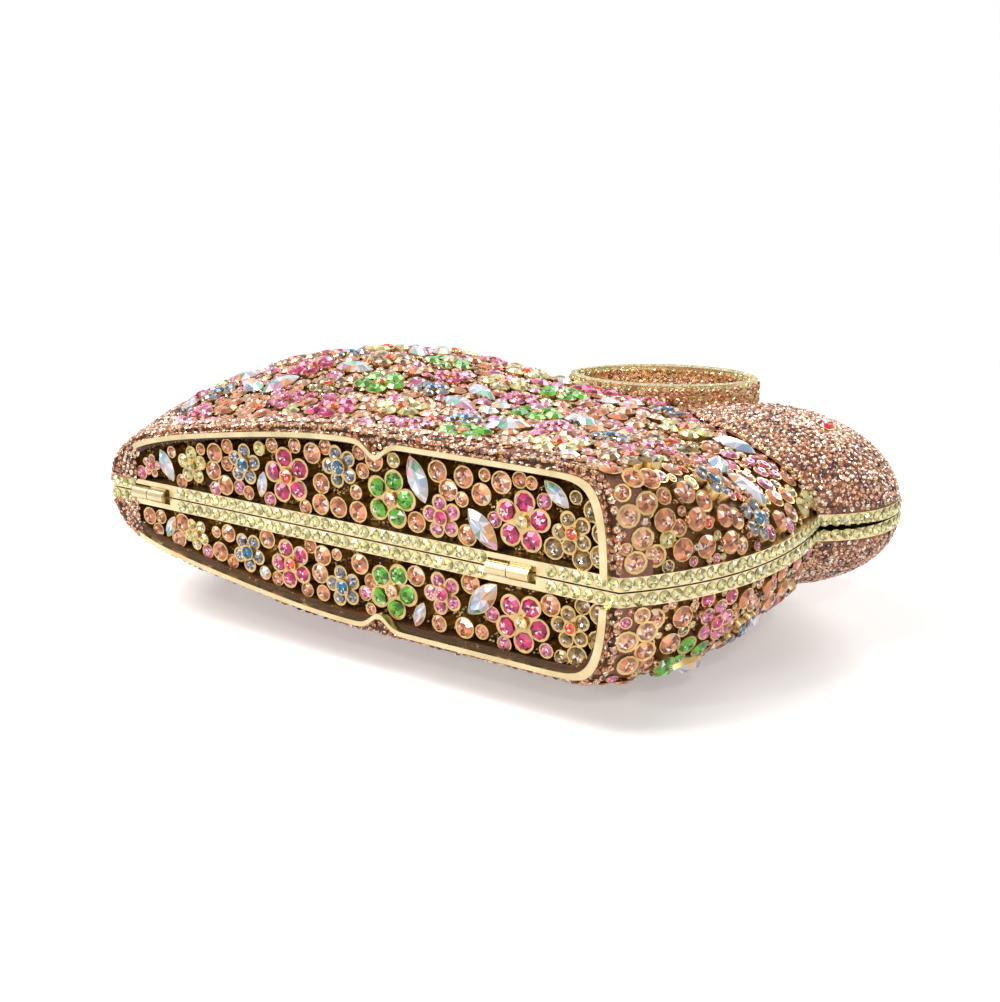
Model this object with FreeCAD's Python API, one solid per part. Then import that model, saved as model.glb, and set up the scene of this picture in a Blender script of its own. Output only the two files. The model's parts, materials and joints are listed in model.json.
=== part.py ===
import FreeCAD, Part
import math
import os
import random

# A crystal-set evening case shaped as a crouching rabbit, lying on its rear half.
# Profile plane: u runs along the hinge line from tail to nose, v rises from the base to the back.
# w is the distance from the parting plane, positive on the front half and negative on the rear half.
# All sizes are in millimetres, all angles in degrees.

# Body profile, as reaches from the middle point of the body
BODY_MID_U = 46.0
BODY_MID_V = 42.0
BODY_TAIL_REACH = 73.0
BODY_CHEST_REACH = 77.0
BODY_RISE = 56.0
BODY_DROP = 64.0
BODY_TOP_FULLNESS = 2.3
BODY_TAIL_FULLNESS = 2.6
BODY_CHEST_FULLNESS = 2.2

# Body depth each side of the parting plane
HAUNCH_DEPTH = 27.0
FRONT_SHOULDER_DEPTH = 20.5
REAR_SHOULDER_DEPTH = 26.6
HAUNCH_U = 14.0
SHOULDER_U = 72.0
FRONT_BASE_TAIL_DEPTH = 15.8
FRONT_BASE_CHEST_DEPTH = 20.9
REAR_BASE_TAIL_DEPTH = 13.8
REAR_BASE_CHEST_DEPTH = 18.1
BASE_TAIL_U = -5.0
BASE_CHEST_U = 52.0
BASE_TAIL_SQUARENESS = 5.0
BASE_CHEST_SQUARENESS = 30.0
TAIL_SQUARENESS = 2.6
FRONT_CHEST_SQUARENESS = 2.6
REAR_CHEST_SQUARENESS = 3.6
CLOSING_ROOT = 2.0

# Head profile and depth
HEAD_MID_U = 101.0
HEAD_MID_V = 71.0
HEAD_NAPE_REACH = 30.0
HEAD_NOSE_REACH = 31.0
HEAD_RISE = 28.0
HEAD_DROP = 23.0
HEAD_BROW_FULLNESS = 1.65
HEAD_CHIN_FULLNESS = 2.1
HEAD_DEPTH = 18.0
HEAD_SQUARENESS = 2.1

# Walls and layers
SKIN = 2.6
SHELL = 1.4
HEAD_WALL = 1.8
LINING = 1.0
LINING_GAP = 0.4

# Base: recess closed at the tail, floral panel and lip
RECESS = 5.0
TAIL_PAD_U = -9.0
PANEL = 1.6
PANEL_GAP = 0.1
LIP_PROUD = 1.9
LIP_INSET = 0.9
LIP_WIDTH = 1.0
LIP_START_U = -7.0
DENT_U = 57.0
DENT_DEPTH = 2.6
DENT_SPREAD = 2.6

# Flowers in relief: ring of petals, single stud and pointed leaf
RELIEF = 1.6
RELIEF_SINK = 0.25
RELIEF_ROOT = 0.9
LEAN_IN = 0.85
BASE_SHARES = (1.0, 0.9, 0.8, 0.7, 0.6)
BASE_TRIES = 160
BLOOM_GAP = 0.3
PETALS = 5
LARGE_RING = 3.7
LARGE_PETAL_R = 2.1
SMALL_RING = 2.8
SMALL_PETAL_R = 1.5
STUD_R = 2.1
LEAF_LENGTH = 9.2
LEAF_WIDTH = 4.3
SCATTER_SEED = 11
SCATTER_TRIES = 3000
SCATTER_EDGE = 9.0

# Plain band round the base, which climbs the tail
BAND = 4.4
BAND_CLIMB_U = -2.0
BAND_CLIMB = 1.3
REST_MARGIN = 1.4

# Rim frame and parting gap
RIM = 2.7
RIM_WIDTH = 3.0
PARTING_GAP = 0.3
MOUTH_GAPE = 0.9
MOUTH_V = 48.0
MOUTH_REACH = 22.0

# Rim stones
STONE_R = 1.0
STONE_TABLE_R = 0.55
STONE_RISE = 0.6
STONE_PITCH = 2.38
STONE_SEAT = 0.1

# Ear, laid back along the flank; its rim rises more along its far edge than along its near edge
EAR_ROOT_U = 98.0
EAR_ROOT_V = 78.0
EAR_LENGTH = 50.0
EAR_WIDTH = 17.0
EAR_LEAN_ANGLE = 8.0
EAR_BLUNTNESS = 0.6
FRONT_EAR_NEAR_RISE = 1.4
FRONT_EAR_FAR_RISE = 9.2
REAR_EAR_NEAR_RISE = 0.7
REAR_EAR_FAR_RISE = 9.2
FRONT_EAR_TIP_FALL = 5.0
REAR_EAR_TIP_FALL = 0.0
EAR_RIM = 1.8
EAR_HOLLOW = 3.0
EAR_FLOOR = 0.6

# Eye stone
EYE_U = 116.0
EYE_V = 72.0
EYE_LENGTH = 5.0
EYE_WIDTH = 3.0
EYE_RISE = 1.2
EYE_SEAT = 0.15

# Hinges: the left one ends at u 0, the right one a span further on
HINGE_SPAN = 90.0
HINGE_OUT = 0.3
BARREL_R = 1.35
KNUCKLE = 4.4
KNUCKLE_GAP = 0.2
PIN_R = 0.6
PIN_CLEARANCE = 0.03
NOTCH_CLEARANCE = 0.3
NOTCH_RELIEF = 0.8

# Closure magnets and strap loops
MAGNET_U = 40.0
MAGNET_R = 3.0
MAGNET_THICK = 1.8
MAGNET_CLEARANCE = 0.05
MAGNET_SINK = 0.2
LUG_WALL = 2.0
LOOP_V = 60.0
LOOP_R = 2.2
LOOP_WIRE_R = 0.5
LOOP_SEAT = 0.15

# Lie of the case: the rear dome is a little flat where it rests
REST_FLAT = 1.0
REST_U = 48.0
REST_V = 46.0

PART_Z = HAUNCH_DEPTH - REST_FLAT
PARTING = PARTING_GAP / 2
HINGE_V = -HINGE_OUT
HINGE_ENDS = {"left": 0.0, "right": HINGE_SPAN}
HINGE_LENGTH = 2 * KNUCKLE + KNUCKLE_GAP
NOTCH_R = BARREL_R + NOTCH_CLEARANCE
FRONT = 1
REAR = -1
SIDES = {FRONT: "front", REAR: "rear"}
SHOULDER_DEPTH = {FRONT: FRONT_SHOULDER_DEPTH, REAR: REAR_SHOULDER_DEPTH}
CHEST_SQUARENESS = {FRONT: FRONT_CHEST_SQUARENESS, REAR: REAR_CHEST_SQUARENESS}
BASE_TAIL_DEPTH = {FRONT: FRONT_BASE_TAIL_DEPTH, REAR: REAR_BASE_TAIL_DEPTH}
BASE_CHEST_DEPTH = {FRONT: FRONT_BASE_CHEST_DEPTH, REAR: REAR_BASE_CHEST_DEPTH}
EAR_NEAR_RISE = {FRONT: FRONT_EAR_NEAR_RISE, REAR: REAR_EAR_NEAR_RISE}
EAR_FAR_RISE = {FRONT: FRONT_EAR_FAR_RISE, REAR: REAR_EAR_FAR_RISE}
EAR_TIP_FALL = {FRONT: FRONT_EAR_TIP_FALL, REAR: REAR_EAR_TIP_FALL}

# Chosen flowers of the base: kind, place along and across, and turn in degrees
BASE_BLOOMS = (
    ("small", -4.0, 6.4, 10), ("stud", 1.4, 4.9, 0), ("large", 8.0, 9.0, 20), ("stud", 14.6, 13.2, 0),
    ("stud", 15.2, 8.8, 0), ("stud", 19.4, 7.4, 0), ("stud", 17.2, 4.9, 0), ("small", 22.6, 12.2, 15),
    ("large", 34.0, 9.6, 30), ("stud", 42.0, 14.8, 0), ("stud", 44.0, 9.6, 0), ("stud", 42.2, 5.0, 0),
    ("stud", 46.6, 5.3, 0), ("stud", 51.0, 9.0, 0), ("stud", 51.4, 4.9, 0), ("small", 47.2, 13.6, 40),
    ("large", 59.2, 9.0, 5), ("stud", 75.6, 15.6, 0), ("stud", 79.4, 13.0, 0), ("stud", 75.2, 11.4, 0),
    ("stud", 69.9, 16.9, 0), ("stud", 83.6, 16.2, 0), ("small", 70.8, 7.0, 30),
    ("large", 88.0, 9.4, 12), ("large", 98.0, 9.0, 40), ("stud", 101.0, 16.6, 0),
    ("leaf", 0.6, 10.0, 118), ("leaf", 27.2, 6.9, 78), ("leaf", 65.4, 13.6, 112),
    ("leaf", 79.6, 6.6, 132), ("leaf", 94.8, 15.4, 140),
)

# Chosen flowers of the flanks: kind, place along, up and across, and turn in degrees
FLANK_BLOOMS = (
    ("small", 61.5, 20, 20, 10), ("small", 45.5, 32, 23, 0), ("small", 15, 43, 26, 30),
    ("small", -5.5, 21, 19, 0), ("large", 94, 50, 17, 20), ("large", 47.5, 19, 21, 40),
    ("large", 17, 55, 25, 0), ("large", 52.5, 49, 22, 0), ("large", 69.5, 34, 20, 10),
    ("large", 37, 30, 23.5, 25), ("large", 36.5, 51, 24.5, 0), ("large", 4, 22, 21, 5),
    ("small", 98.5, 27, 18, 15), ("small", 21, 16, 20, 0), ("small", 56, 11, 20, 20),
    ("small", 61, 42, 21, 0), ("large", 13, 32, 24.7, 12), ("large", 35, 13.5, 20, 0),
    ("large", 43.5, 41, 23.5, 0), ("large", 66, 66, 19, 0), ("large", 27, 23, 22.5, 20),
    ("large", 27, 42, 25.7, 0), ("large", 57, 60, 20.5, 0), ("stud", 82, 45, 19, 0),
    ("stud", 87, 43, 18.5, 0), ("stud", 88.5, 33, 19, 0), ("stud", 83, 21, 20, 0),
    ("stud", 72.5, 49, 20, 0), ("stud", 12.5, 14, 19, 0), ("stud", 8, 11.5, 17.5, 0),
    ("stud", 79, 56, 19, 0), ("stud", 103, 56, 15, 0), ("leaf", 80, 34, 19.7, -10),
    ("leaf", 44, 8.8, 20, 20), ("leaf", 55, 28, 21, 0), ("leaf", 71, 20, 20, 35),
    ("leaf", 25, 32.5, 25, 10), ("leaf", 54, 38, 22, -20), ("leaf", -6, 29, 21, 25),
    ("leaf", 13, 22.5, 21.5, 60),
)
FRONT_CHEST_BLOOMS = (
    ("stud", 110, 5.8, 6.2, 0), ("stud", 113, 9.6, 6.2, 0), ("stud", 115, 14, 6.0, 0),
    ("stud", 118, 19.4, 5.8, 0), ("stud", 109.5, 7, 11.4, 0), ("stud", 113, 12.8, 10.8, 0),
    ("stud", 116, 19.4, 10.3, 0), ("stud", 109.5, 12.4, 15, 0), ("small", 110.8, 22.6, 15, 20),
    ("small", 119.3, 28.4, 8.0, 5), ("small", 112.3, 48.5, 12.2, 0), ("stud", 121, 36.4, 5.9, 0),
    ("stud", 119.3, 40.5, 9.0, 0), ("leaf", 107.5, 37, 14.2, 130),
)
REAR_CHEST_BLOOMS = (
    ("stud", 109.3, 5.8, 5.6, 0), ("stud", 112.2, 10, 5.8, 0), ("stud", 110.3, 8.6, 10.4, 0),
    ("stud", 109.5, 9.6, 15, 0), ("small", 116.3, 17, 8.2, 0), ("stud", 119.4, 24.2, 5.8, 0),
    ("stud", 120.5, 31, 6.0, 0), ("stud", 120.3, 39.4, 8.2, 0), ("large", 112.5, 17.5, 17, 15),
    ("small", 117.0, 28, 13.6, 10), ("leaf", 114.5, 37, 15, 100),
)
CHEST_BLOOMS = {FRONT: FRONT_CHEST_BLOOMS, REAR: REAR_CHEST_BLOOMS}
SCATTER_KINDS = ("large", "large", "small", "leaf", "stud", "stud")

# Fineness of the curves, and how far a rounded end runs before its small flat
SECTION_STEPS = 24
SECTION_COUNT = 13
LIP_STEPS = 120
NORMAL_STEP = 0.2
LEAF_STEPS = 12
END_ANGLE = 80.0
DOME_ROOT = 2.2
FAR = 200.0


def place(u, v, w):
    """Point of the profile (u, v) at distance w from the parting plane, in the part's own frame."""
    return FreeCAD.Vector(u - REST_U, v - REST_V, PART_Z + w)


def ease(share):
    """Smooth step from 0 to 1."""
    share = min(max(share, 0.0), 1.0)
    return share * share * (3 - 2 * share)


def rounded(share, power, root):
    """Height of a rounded end, 1 at share 0 and 0 at share 1."""
    return max(0.0, 1 - min(share, 1.0) ** power) ** (1 / root)


class Form:
    """A domed form, described by its reaches from a middle point in the profile plane."""

    def __init__(self, mid_u, mid_v, tail, nose, rise, drop, low_v):
        self.mid_u, self.mid_v, self.low_v = mid_u, mid_v, low_v
        self.tail, self.nose = tail, nose
        self.rise, self.drop = rise, drop

    def level(self, v, inset):
        """Share of the way from the middle to the top or the bottom at height v."""
        reach = (self.rise if v >= self.mid_v else self.drop) - inset
        return min(abs(v - self.mid_v) / reach, 1.0)

    def reaches(self, v, inset):
        """Reach to the tail side and to the nose side at height v."""
        level = self.level(v, inset)
        to_tail, to_nose = self.fullness(v)
        tail = (self.tail - inset) * rounded(level, to_tail, to_tail)
        nose = (self.nose - inset) * rounded(level, to_nose, to_nose)
        return tail, nose

    def depth(self, u, v, side, inset=0.0):
        """Distance of the surface from the parting plane."""
        tail, nose = self.reaches(v, inset)
        reach = tail if u < self.mid_u else nose
        share = min(abs(u - self.mid_u) / reach, 1.0)
        crown = self.crown(u, v, side) * self.closing(v, inset) - inset
        return max(crown, 0.0) * rounded(share, self.squareness(u, v, side), DOME_ROOT)

    def heights(self, inset, start_v, count):
        """Heights from start_v, or the rounded low end, up to the rounded top."""
        end = math.radians(END_ANGLE)
        low = min((self.mid_v - start_v) / (self.drop - inset), math.sin(end))
        first = -math.asin(low)
        angles = [first + (end - first) * k / (count - 1) for k in range(count)]
        reach = {True: self.rise - inset, False: self.drop - inset}
        return [self.mid_v + reach[angle >= 0] * math.sin(angle) for angle in angles]

    def normal(self, u, v, side):
        """Outward unit normal of the outer surface."""
        step = NORMAL_STEP
        du = self.depth(u + step, v, side) - self.depth(u - step, v, side)
        dv = self.depth(u, v + step, side) - self.depth(u, v - step, side)
        return FreeCAD.Vector(-du, -dv, side * 2 * step).normalize()


class Body(Form):
    """The crouching body, cut flat by the base at v = 0."""

    def fullness(self, v):
        if v >= self.mid_v:
            return BODY_TOP_FULLNESS, BODY_TOP_FULLNESS
        return BODY_TAIL_FULLNESS, BODY_CHEST_FULLNESS

    def crown(self, u, v, side):
        along_base = ease((u - BASE_TAIL_U) / (BASE_CHEST_U - BASE_TAIL_U))
        along_flank = ease((u - HAUNCH_U) / (SHOULDER_U - HAUNCH_U))
        base = BASE_TAIL_DEPTH[side] + (BASE_CHEST_DEPTH[side] - BASE_TAIL_DEPTH[side]) * along_base
        flank = HAUNCH_DEPTH + (SHOULDER_DEPTH[side] - HAUNCH_DEPTH) * along_flank
        return base + (flank - base) * ease(v / self.mid_v)

    def closing(self, v, inset):
        if v <= self.mid_v:
            return 1.0
        return rounded(self.level(v, inset), BODY_TOP_FULLNESS, CLOSING_ROOT)

    def squareness(self, u, v, side):
        base, flank = BASE_CHEST_SQUARENESS, CHEST_SQUARENESS[side]
        if u < self.mid_u:
            base, flank = BASE_TAIL_SQUARENESS, TAIL_SQUARENESS
        return base * (flank / base) ** ease(v / self.mid_v)


class Head(Form):
    """The egg-shaped head, rounded at both ends."""

    def fullness(self, v):
        return HEAD_CHIN_FULLNESS, HEAD_BROW_FULLNESS if v >= self.mid_v else HEAD_CHIN_FULLNESS

    def crown(self, u, v, side):
        return HEAD_DEPTH

    def closing(self, v, inset):
        return rounded(self.level(v, inset), HEAD_SQUARENESS, CLOSING_ROOT)

    def squareness(self, u, v, side):
        return HEAD_SQUARENESS


BODY = Body(BODY_MID_U, BODY_MID_V, BODY_TAIL_REACH, BODY_CHEST_REACH, BODY_RISE, BODY_DROP, 0.0)
HEAD = Head(HEAD_MID_U, HEAD_MID_V, HEAD_NAPE_REACH, HEAD_NOSE_REACH, HEAD_RISE, HEAD_DROP,
            HEAD_MID_V - HEAD_DROP)


def smooth(points):
    """Curve through points, with the same knots for every curve of as many points."""
    last = len(points) - 1
    curve = Part.BSplineCurve()
    curve.interpolate(Points=points, Parameters=[k / last for k in range(last + 1)])
    return curve.toShape()


def section(form, v, side, inset, dent=0.0, steps=SECTION_STEPS):
    """Closed cross-section of one half at height v, with an optional dent between the feet."""
    tail, nose = form.reaches(v, inset)
    points = []
    for k in range(steps + 1):
        swing = math.cos(math.pi * k / steps)
        u = form.mid_u - swing * (tail if swing > 0 else nose)
        sunk = dent * math.exp(-((u - DENT_U) / DENT_SPREAD) ** 2)
        ends = k in (0, steps)
        points.append(place(u, v, 0.0 if ends else side * (form.depth(u, v, side, inset) - sunk)))
    return Part.Wire([smooth(points), Part.makeLine(points[-1], points[0])])


def dome(form, side, inset, start_v=None):
    """Solid half of a form, shrunk by inset, and trimmed below height start_v if that is given."""
    heights = form.heights(inset, form.low_v, SECTION_COUNT)
    solid = Part.makeLoft([section(form, v, side, inset) for v in heights], True, False)
    if start_v is not None:
        solid = solid.common(block(-FAR, FAR, start_v, FAR, -FAR, FAR))
    return solid


def beyond(side, w):
    """Block of everything further than w from the parting plane on one side."""
    low = w if side == FRONT else -w - FAR
    return Part.makeBox(2 * FAR, 2 * FAR, FAR, place(-FAR, -FAR, low))


def slab(face, side, low, high):
    """Flat face of the parting plane as a slab from low to high on one side."""
    shape = face.translated(FreeCAD.Vector(0, 0, side * low))
    return shape.extrude(FreeCAD.Vector(0, 0, side * (high - low)))


def block(u0, u1, v0, v1, w0, w1):
    """Box between two corners of the profile."""
    low = place(u0, v0, min(w0, w1))
    return Part.makeBox(u1 - u0, v1 - v0, abs(w1 - w0), low)


def plan(form, inset, start_v):
    """Flat outline of a form in the parting plane, from height start_v up."""
    tail_side, nose_side = [], []
    for v in form.heights(inset, start_v, SECTION_STEPS + 1):
        tail, nose = form.reaches(v, inset)
        tail_side.append(place(form.mid_u - tail, v, 0))
        nose_side.append(place(form.mid_u + nose, v, 0))
    edges = [smooth(tail_side), Part.makeLine(tail_side[-1], nose_side[-1]),
             smooth(nose_side[::-1]), Part.makeLine(nose_side[0], tail_side[0])]
    return Part.Face(Part.Wire(edges))


def case_plan():
    """Outline of the whole case in the parting plane: body and head together."""
    return plan(BODY, 0.0, BODY.low_v).fuse(plan(HEAD, 0.0, HEAD.low_v)).removeSplitter().Faces[0]


def reach_of(kind):
    """Radius of a flower, stud or leaf."""
    return {"large": LARGE_RING + LARGE_PETAL_R, "small": SMALL_RING + SMALL_PETAL_R,
            "stud": STUD_R, "leaf": LEAF_LENGTH / 2}[kind]


def spread_of(kind):
    """Radius that a flower, stud or leaf keeps to itself; neighbours may reach past a leaf's flanks."""
    return (LEAF_LENGTH + LEAF_WIDTH) / 4 if kind == "leaf" else reach_of(kind)


def outline_of(kind, turn, scale=1.0):
    """Flat outline of a flower, stud or leaf about the origin, turned by an angle in degrees."""
    reach = scale * reach_of(kind)
    if kind == "stud":
        return Part.Face(Part.Wire(Part.makeCircle(reach)))

    def at(radius, angle):
        angle = math.radians(angle)
        return FreeCAD.Vector(radius * math.cos(angle), radius * math.sin(angle), 0)

    if kind == "leaf":
        flank = scale * LEAF_WIDTH / 2
        arcs = [Part.Arc(at(reach, tip), at(flank, tip + 90), at(reach, tip + 180))
                for tip in (turn, turn + 180)]
    else:
        step = 360 / PETALS
        ring = LARGE_RING if kind == "large" else SMALL_RING
        between = scale * ring * math.cos(math.radians(step / 2))
        arcs = [Part.Arc(at(between, tip - step / 2), at(reach, tip), at(between, tip + step / 2))
                for tip in (turn + k * step for k in range(PETALS))]
    return Part.Face(Part.Wire([arc.toShape() for arc in arcs]))


def on_body(u, v, w, side):
    """Place of the body's surface on the way from its middle line to a point, as u, v and w."""
    low, high = 0.0, 2.0
    for _ in range(SECTION_STEPS):
        share = (low + high) / 2
        inside = BODY.depth(BODY.mid_u + share * (u - BODY.mid_u), v, side) > share * w
        low, high = (share, high) if inside else (low, share)
    return BODY.mid_u + low * (u - BODY.mid_u), v, low * w


def in_ear(u, v, margin):
    """Whether a point of the profile lies within the ear's length and width, with a margin."""
    lean = math.radians(EAR_LEAN_ANGLE)
    along = (EAR_ROOT_U - u) * math.cos(lean) + (v - EAR_ROOT_V) * math.sin(lean)
    across = (v - EAR_ROOT_V) * math.cos(lean) - (EAR_ROOT_U - u) * math.sin(lean)
    return -margin < along < EAR_LENGTH + margin and abs(across) < EAR_WIDTH / 2 + margin


def in_head(u, v, margin):
    """Whether a point of the profile lies under the head, with a margin."""
    if v < HEAD.low_v - margin:
        return False
    tail, nose = HEAD.reaches(max(v, HEAD.low_v), 0.0)
    return -tail - margin < u - HEAD.mid_u < nose + margin


def band_top(u):
    """Height of the plain band at u."""
    return BAND + BAND_CLIMB * max(0.0, BAND_CLIMB_U - u)


def fits(kind, u, v, w, side):
    """Whether a flower at this place keeps clear of rim, band, ear, head and resting face."""
    reach = reach_of(kind)
    if w < RIM + reach + BLOOM_GAP or v < band_top(u) + reach or v > BODY_MID_V + BODY_RISE - SCATTER_EDGE:
        return False
    if side == REAR and w > PART_Z - REST_MARGIN:
        return False
    return not in_ear(u, v, reach) and not (in_head(u, v, reach) and w < HEAD.depth(u, v, side) + reach)


def flank_blooms(side):
    """Chosen flowers of one flank, then as many more as find room: kind, u, v, w and turn."""
    blooms = []

    def add(kind, u, v, w, turn):
        u, v, w = on_body(u, v, w, side)
        own = spread_of(kind) + BLOOM_GAP
        apart = all(place(u, v, w).distanceToPoint(place(*other[1:4])) > own + spread_of(other[0])
                    for other in blooms)
        if apart and fits(kind, u, v, w, side):
            blooms.append((kind, u, v, w, turn))

    for bloom in CHEST_BLOOMS[side] + FLANK_BLOOMS:
        add(*bloom)
    rng = random.Random(SCATTER_SEED)
    for k in range(SCATTER_TRIES):
        swing, v = rng.uniform(-1, 1), rng.uniform(BAND, BODY_MID_V + BODY_RISE)
        tail, nose = BODY.reaches(v, 0.0)
        u = BODY_MID_U + swing * (tail if swing < 0 else nose)
        kind = SCATTER_KINDS[k * len(SCATTER_KINDS) // SCATTER_TRIES]
        add(kind, u, v, BODY.depth(u, v, side), rng.uniform(0, 360))
    return blooms


def relief(kind, u, v, w, turn, side):
    """One flower in relief on the skin, let into its floor."""
    normal = BODY.normal(u, v, side)
    top = place(u, v, side * w) - normal * RELIEF_SINK
    face = outline_of(kind, turn)
    face.Placement = FreeCAD.Placement(top, FreeCAD.Rotation(FreeCAD.Vector(0, 0, 1), normal))
    return face.extrude(normal * (RELIEF_SINK - RELIEF - RELIEF_ROOT))


def band_zone():
    """Everything below the top of the plain band."""
    climb = BAND_CLIMB * (FAR + BAND_CLIMB_U)
    corners = [(-FAR, -FAR), (FAR, -FAR), (FAR, BAND), (BAND_CLIMB_U, BAND), (-FAR, BAND + climb)]
    points = [place(u, v, -FAR) for u, v in corners]
    return Part.Face(Part.makePolygon(points + points[:1])).extrude(FreeCAD.Vector(0, 0, 2 * FAR))


def openwork(side):
    """Outer skin of the body: a floor with flowers in relief and a plain band."""
    raised = dome(BODY, side, 0.0)
    solid = raised.common(band_zone())
    if side == REAR:
        solid = solid.fuse(raised.common(beyond(REAR, PART_Z - REST_MARGIN)))
    skin = dome(BODY, side, RELIEF).fuse([solid] + [relief(*bloom, side) for bloom in flank_blooms(side)])
    hollow = dome(BODY, side, SKIN).cut(block(-FAR, TAIL_PAD_U, -FAR, RECESS, -FAR, FAR))
    skin = skin.common(beyond(side, RIM)).cut(hollow)
    if side == REAR:
        skin = skin.cut(beyond(REAR, PART_Z))
    return skin


def shell(side):
    """Body shell behind the skin, with the back wall of the base recess."""
    hollow = dome(BODY, side, SKIN + SHELL, RECESS + SHELL)
    return dome(BODY, side, SKIN, RECESS).common(beyond(side, RIM)).cut(hollow)


def lining(side):
    """Lining tray inside the shell."""
    outer = SKIN + SHELL + LINING_GAP
    start_v = RECESS + SHELL + LINING_GAP
    tray = dome(BODY, side, outer, start_v).common(beyond(side, RIM + LINING_GAP))
    return tray.cut(dome(BODY, side, outer + LINING, start_v + LINING))


def largest(shape):
    """Main solid of a cut shape."""
    return max(shape.Solids, key=lambda solid: solid.Volume)


def head_casing(side):
    """Hollow head, closed against the body."""
    casing = dome(HEAD, side, 0.0).common(beyond(side, RIM)).cut(dome(HEAD, side, HEAD_WALL))
    return largest(casing.cut(dome(BODY, side, 0.0)))


def base_lip(side):
    """Thin lip round the base recess, open at the tail and dented between hind foot and fore foot."""
    ring = Part.Face(section(BODY, 0.0, side, LIP_INSET, DENT_DEPTH, LIP_STEPS))
    ring = ring.cut(Part.Face(section(BODY, 0.0, side, LIP_INSET + LIP_WIDTH, DENT_DEPTH, LIP_STEPS)))
    lip = ring.extrude(FreeCAD.Vector(0, -LIP_PROUD, 0))
    return lip.common(beyond(side, RIM)).common(block(LIP_START_U, FAR, -FAR, FAR, -FAR, FAR))


def base_outlines(side):
    """Outlines of the base flowers at the base's level, each as large as its room allows."""
    spin = FreeCAD.Rotation(FreeCAD.Vector(1, 0, 0), 90)
    rng = random.Random(SCATTER_SEED)
    tail_u, nose_u = TAIL_PAD_U, BODY_MID_U + BODY.reaches(0.0, SKIN + PANEL_GAP)[1]
    depth = BASE_CHEST_DEPTH[side]
    blooms = sorted(BASE_BLOOMS, key=lambda bloom: -spread_of(bloom[0]))
    blooms += [("stud", rng.uniform(tail_u, nose_u), rng.uniform(RIM, depth), 0) for _ in range(BASE_TRIES)]
    placed = []
    for kind, u, w, turn in blooms:
        for share in BASE_SHARES:
            face = outline_of(kind, side * turn, share)
            half = max(face.BoundBox.YMax, -face.BoundBox.YMin)
            lean = LEAN_IN * share * reach_of(kind)
            if u - lean < tail_u + PANEL_GAP + BLOOM_GAP or u + lean > nose_u - BLOOM_GAP:
                continue
            room = min(BODY.depth(u + aside, 0.0, side, SKIN + PANEL_GAP) for aside in (-lean, 0, lean))
            near, far = RIM + PANEL_GAP + BLOOM_GAP + half, room - BLOOM_GAP - half
            if far < near:
                continue
            face.Placement = FreeCAD.Placement(place(u, 0, side * min(max(w, near), far)), spin)
            if all(face.distToShape(other)[0] > BLOOM_GAP / 2 for other in placed):
                placed.append(face)
                break
    return placed


def base_panel(side):
    """Floral panel inside the base recess: a plate with flowers that stand up to the base's level."""
    inside = dome(BODY, side, SKIN + PANEL_GAP).common(beyond(side, RIM + PANEL_GAP))
    plate_v = RECESS - PANEL_GAP - PANEL
    plate = inside.common(block(TAIL_PAD_U + PANEL_GAP, FAR, plate_v, RECESS - PANEL_GAP, -FAR, FAR))
    rise = FreeCAD.Vector(0, plate_v + PANEL / 2, 0)
    return plate.fuse([face.extrude(rise) for face in base_outlines(side)])


def leaf(inset):
    """Leaf-shaped ear outline in the parting plane."""
    lean = math.radians(EAR_LEAN_ANGLE)
    length, width = EAR_LENGTH - 2 * inset, EAR_WIDTH - 2 * inset
    near, far = [], []
    for k in range(LEAF_STEPS + 1):
        share = (1 - math.cos(math.pi * k / LEAF_STEPS)) / 2
        along = inset + length * share
        across = width / 2 * (4 * share * (1 - share)) ** EAR_BLUNTNESS
        u = EAR_ROOT_U - along * math.cos(lean)
        v = EAR_ROOT_V + along * math.sin(lean)
        near.append(place(u - across * math.sin(lean), v - across * math.cos(lean), 0))
        far.append(place(u + across * math.sin(lean), v + across * math.cos(lean), 0))
    return Part.Face(Part.Wire([smooth(near), smooth(far[::-1])]))


def over_ear(side, sink):
    """Everything above the tilted plane of the ear's rim, lowered by sink."""
    middle_u = EAR_ROOT_U - EAR_LENGTH / 2 * math.cos(math.radians(EAR_LEAN_ANGLE))
    near_v, far_v = EAR_ROOT_V - EAR_WIDTH / 2, EAR_ROOT_V + EAR_WIDTH / 2
    near_w = BODY.depth(middle_u, near_v, side) + EAR_NEAR_RISE[side]
    far_w = BODY.depth(middle_u, far_v, side) + EAR_FAR_RISE[side]
    slope = (far_w - near_w) / (far_v - near_v)
    fall = EAR_TIP_FALL[side] / EAR_LENGTH
    corners = []
    for u, v in ((-FAR, 0), (FAR, 0), (FAR, FAR), (-FAR, FAR)):
        height = near_w + slope * (v - near_v) + fall * (u - middle_u) - sink
        corners.append(place(u, v, side * height))
    face = Part.Face(Part.makePolygon(corners + corners[:1]))
    return face.extrude(FreeCAD.Vector(0, 0, side * 2 * FAR))


def ear(side):
    """Ear with a raised rim and a hollow inside, seated on body and head."""
    wall = slab(leaf(0.0), side, RIM, FAR).cut(over_ear(side, 0.0))
    hollow = slab(leaf(EAR_RIM), side, RIM, FAR).common(over_ear(side, EAR_HOLLOW))
    floor = dome(BODY, side, -EAR_FLOOR).fuse(dome(HEAD, side, -EAR_FLOOR))
    wall = wall.cut(hollow.cut(floor))
    return largest(wall.cut(dome(BODY, side, 0.0)).cut(dome(HEAD, side, 0.0)))


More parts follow.
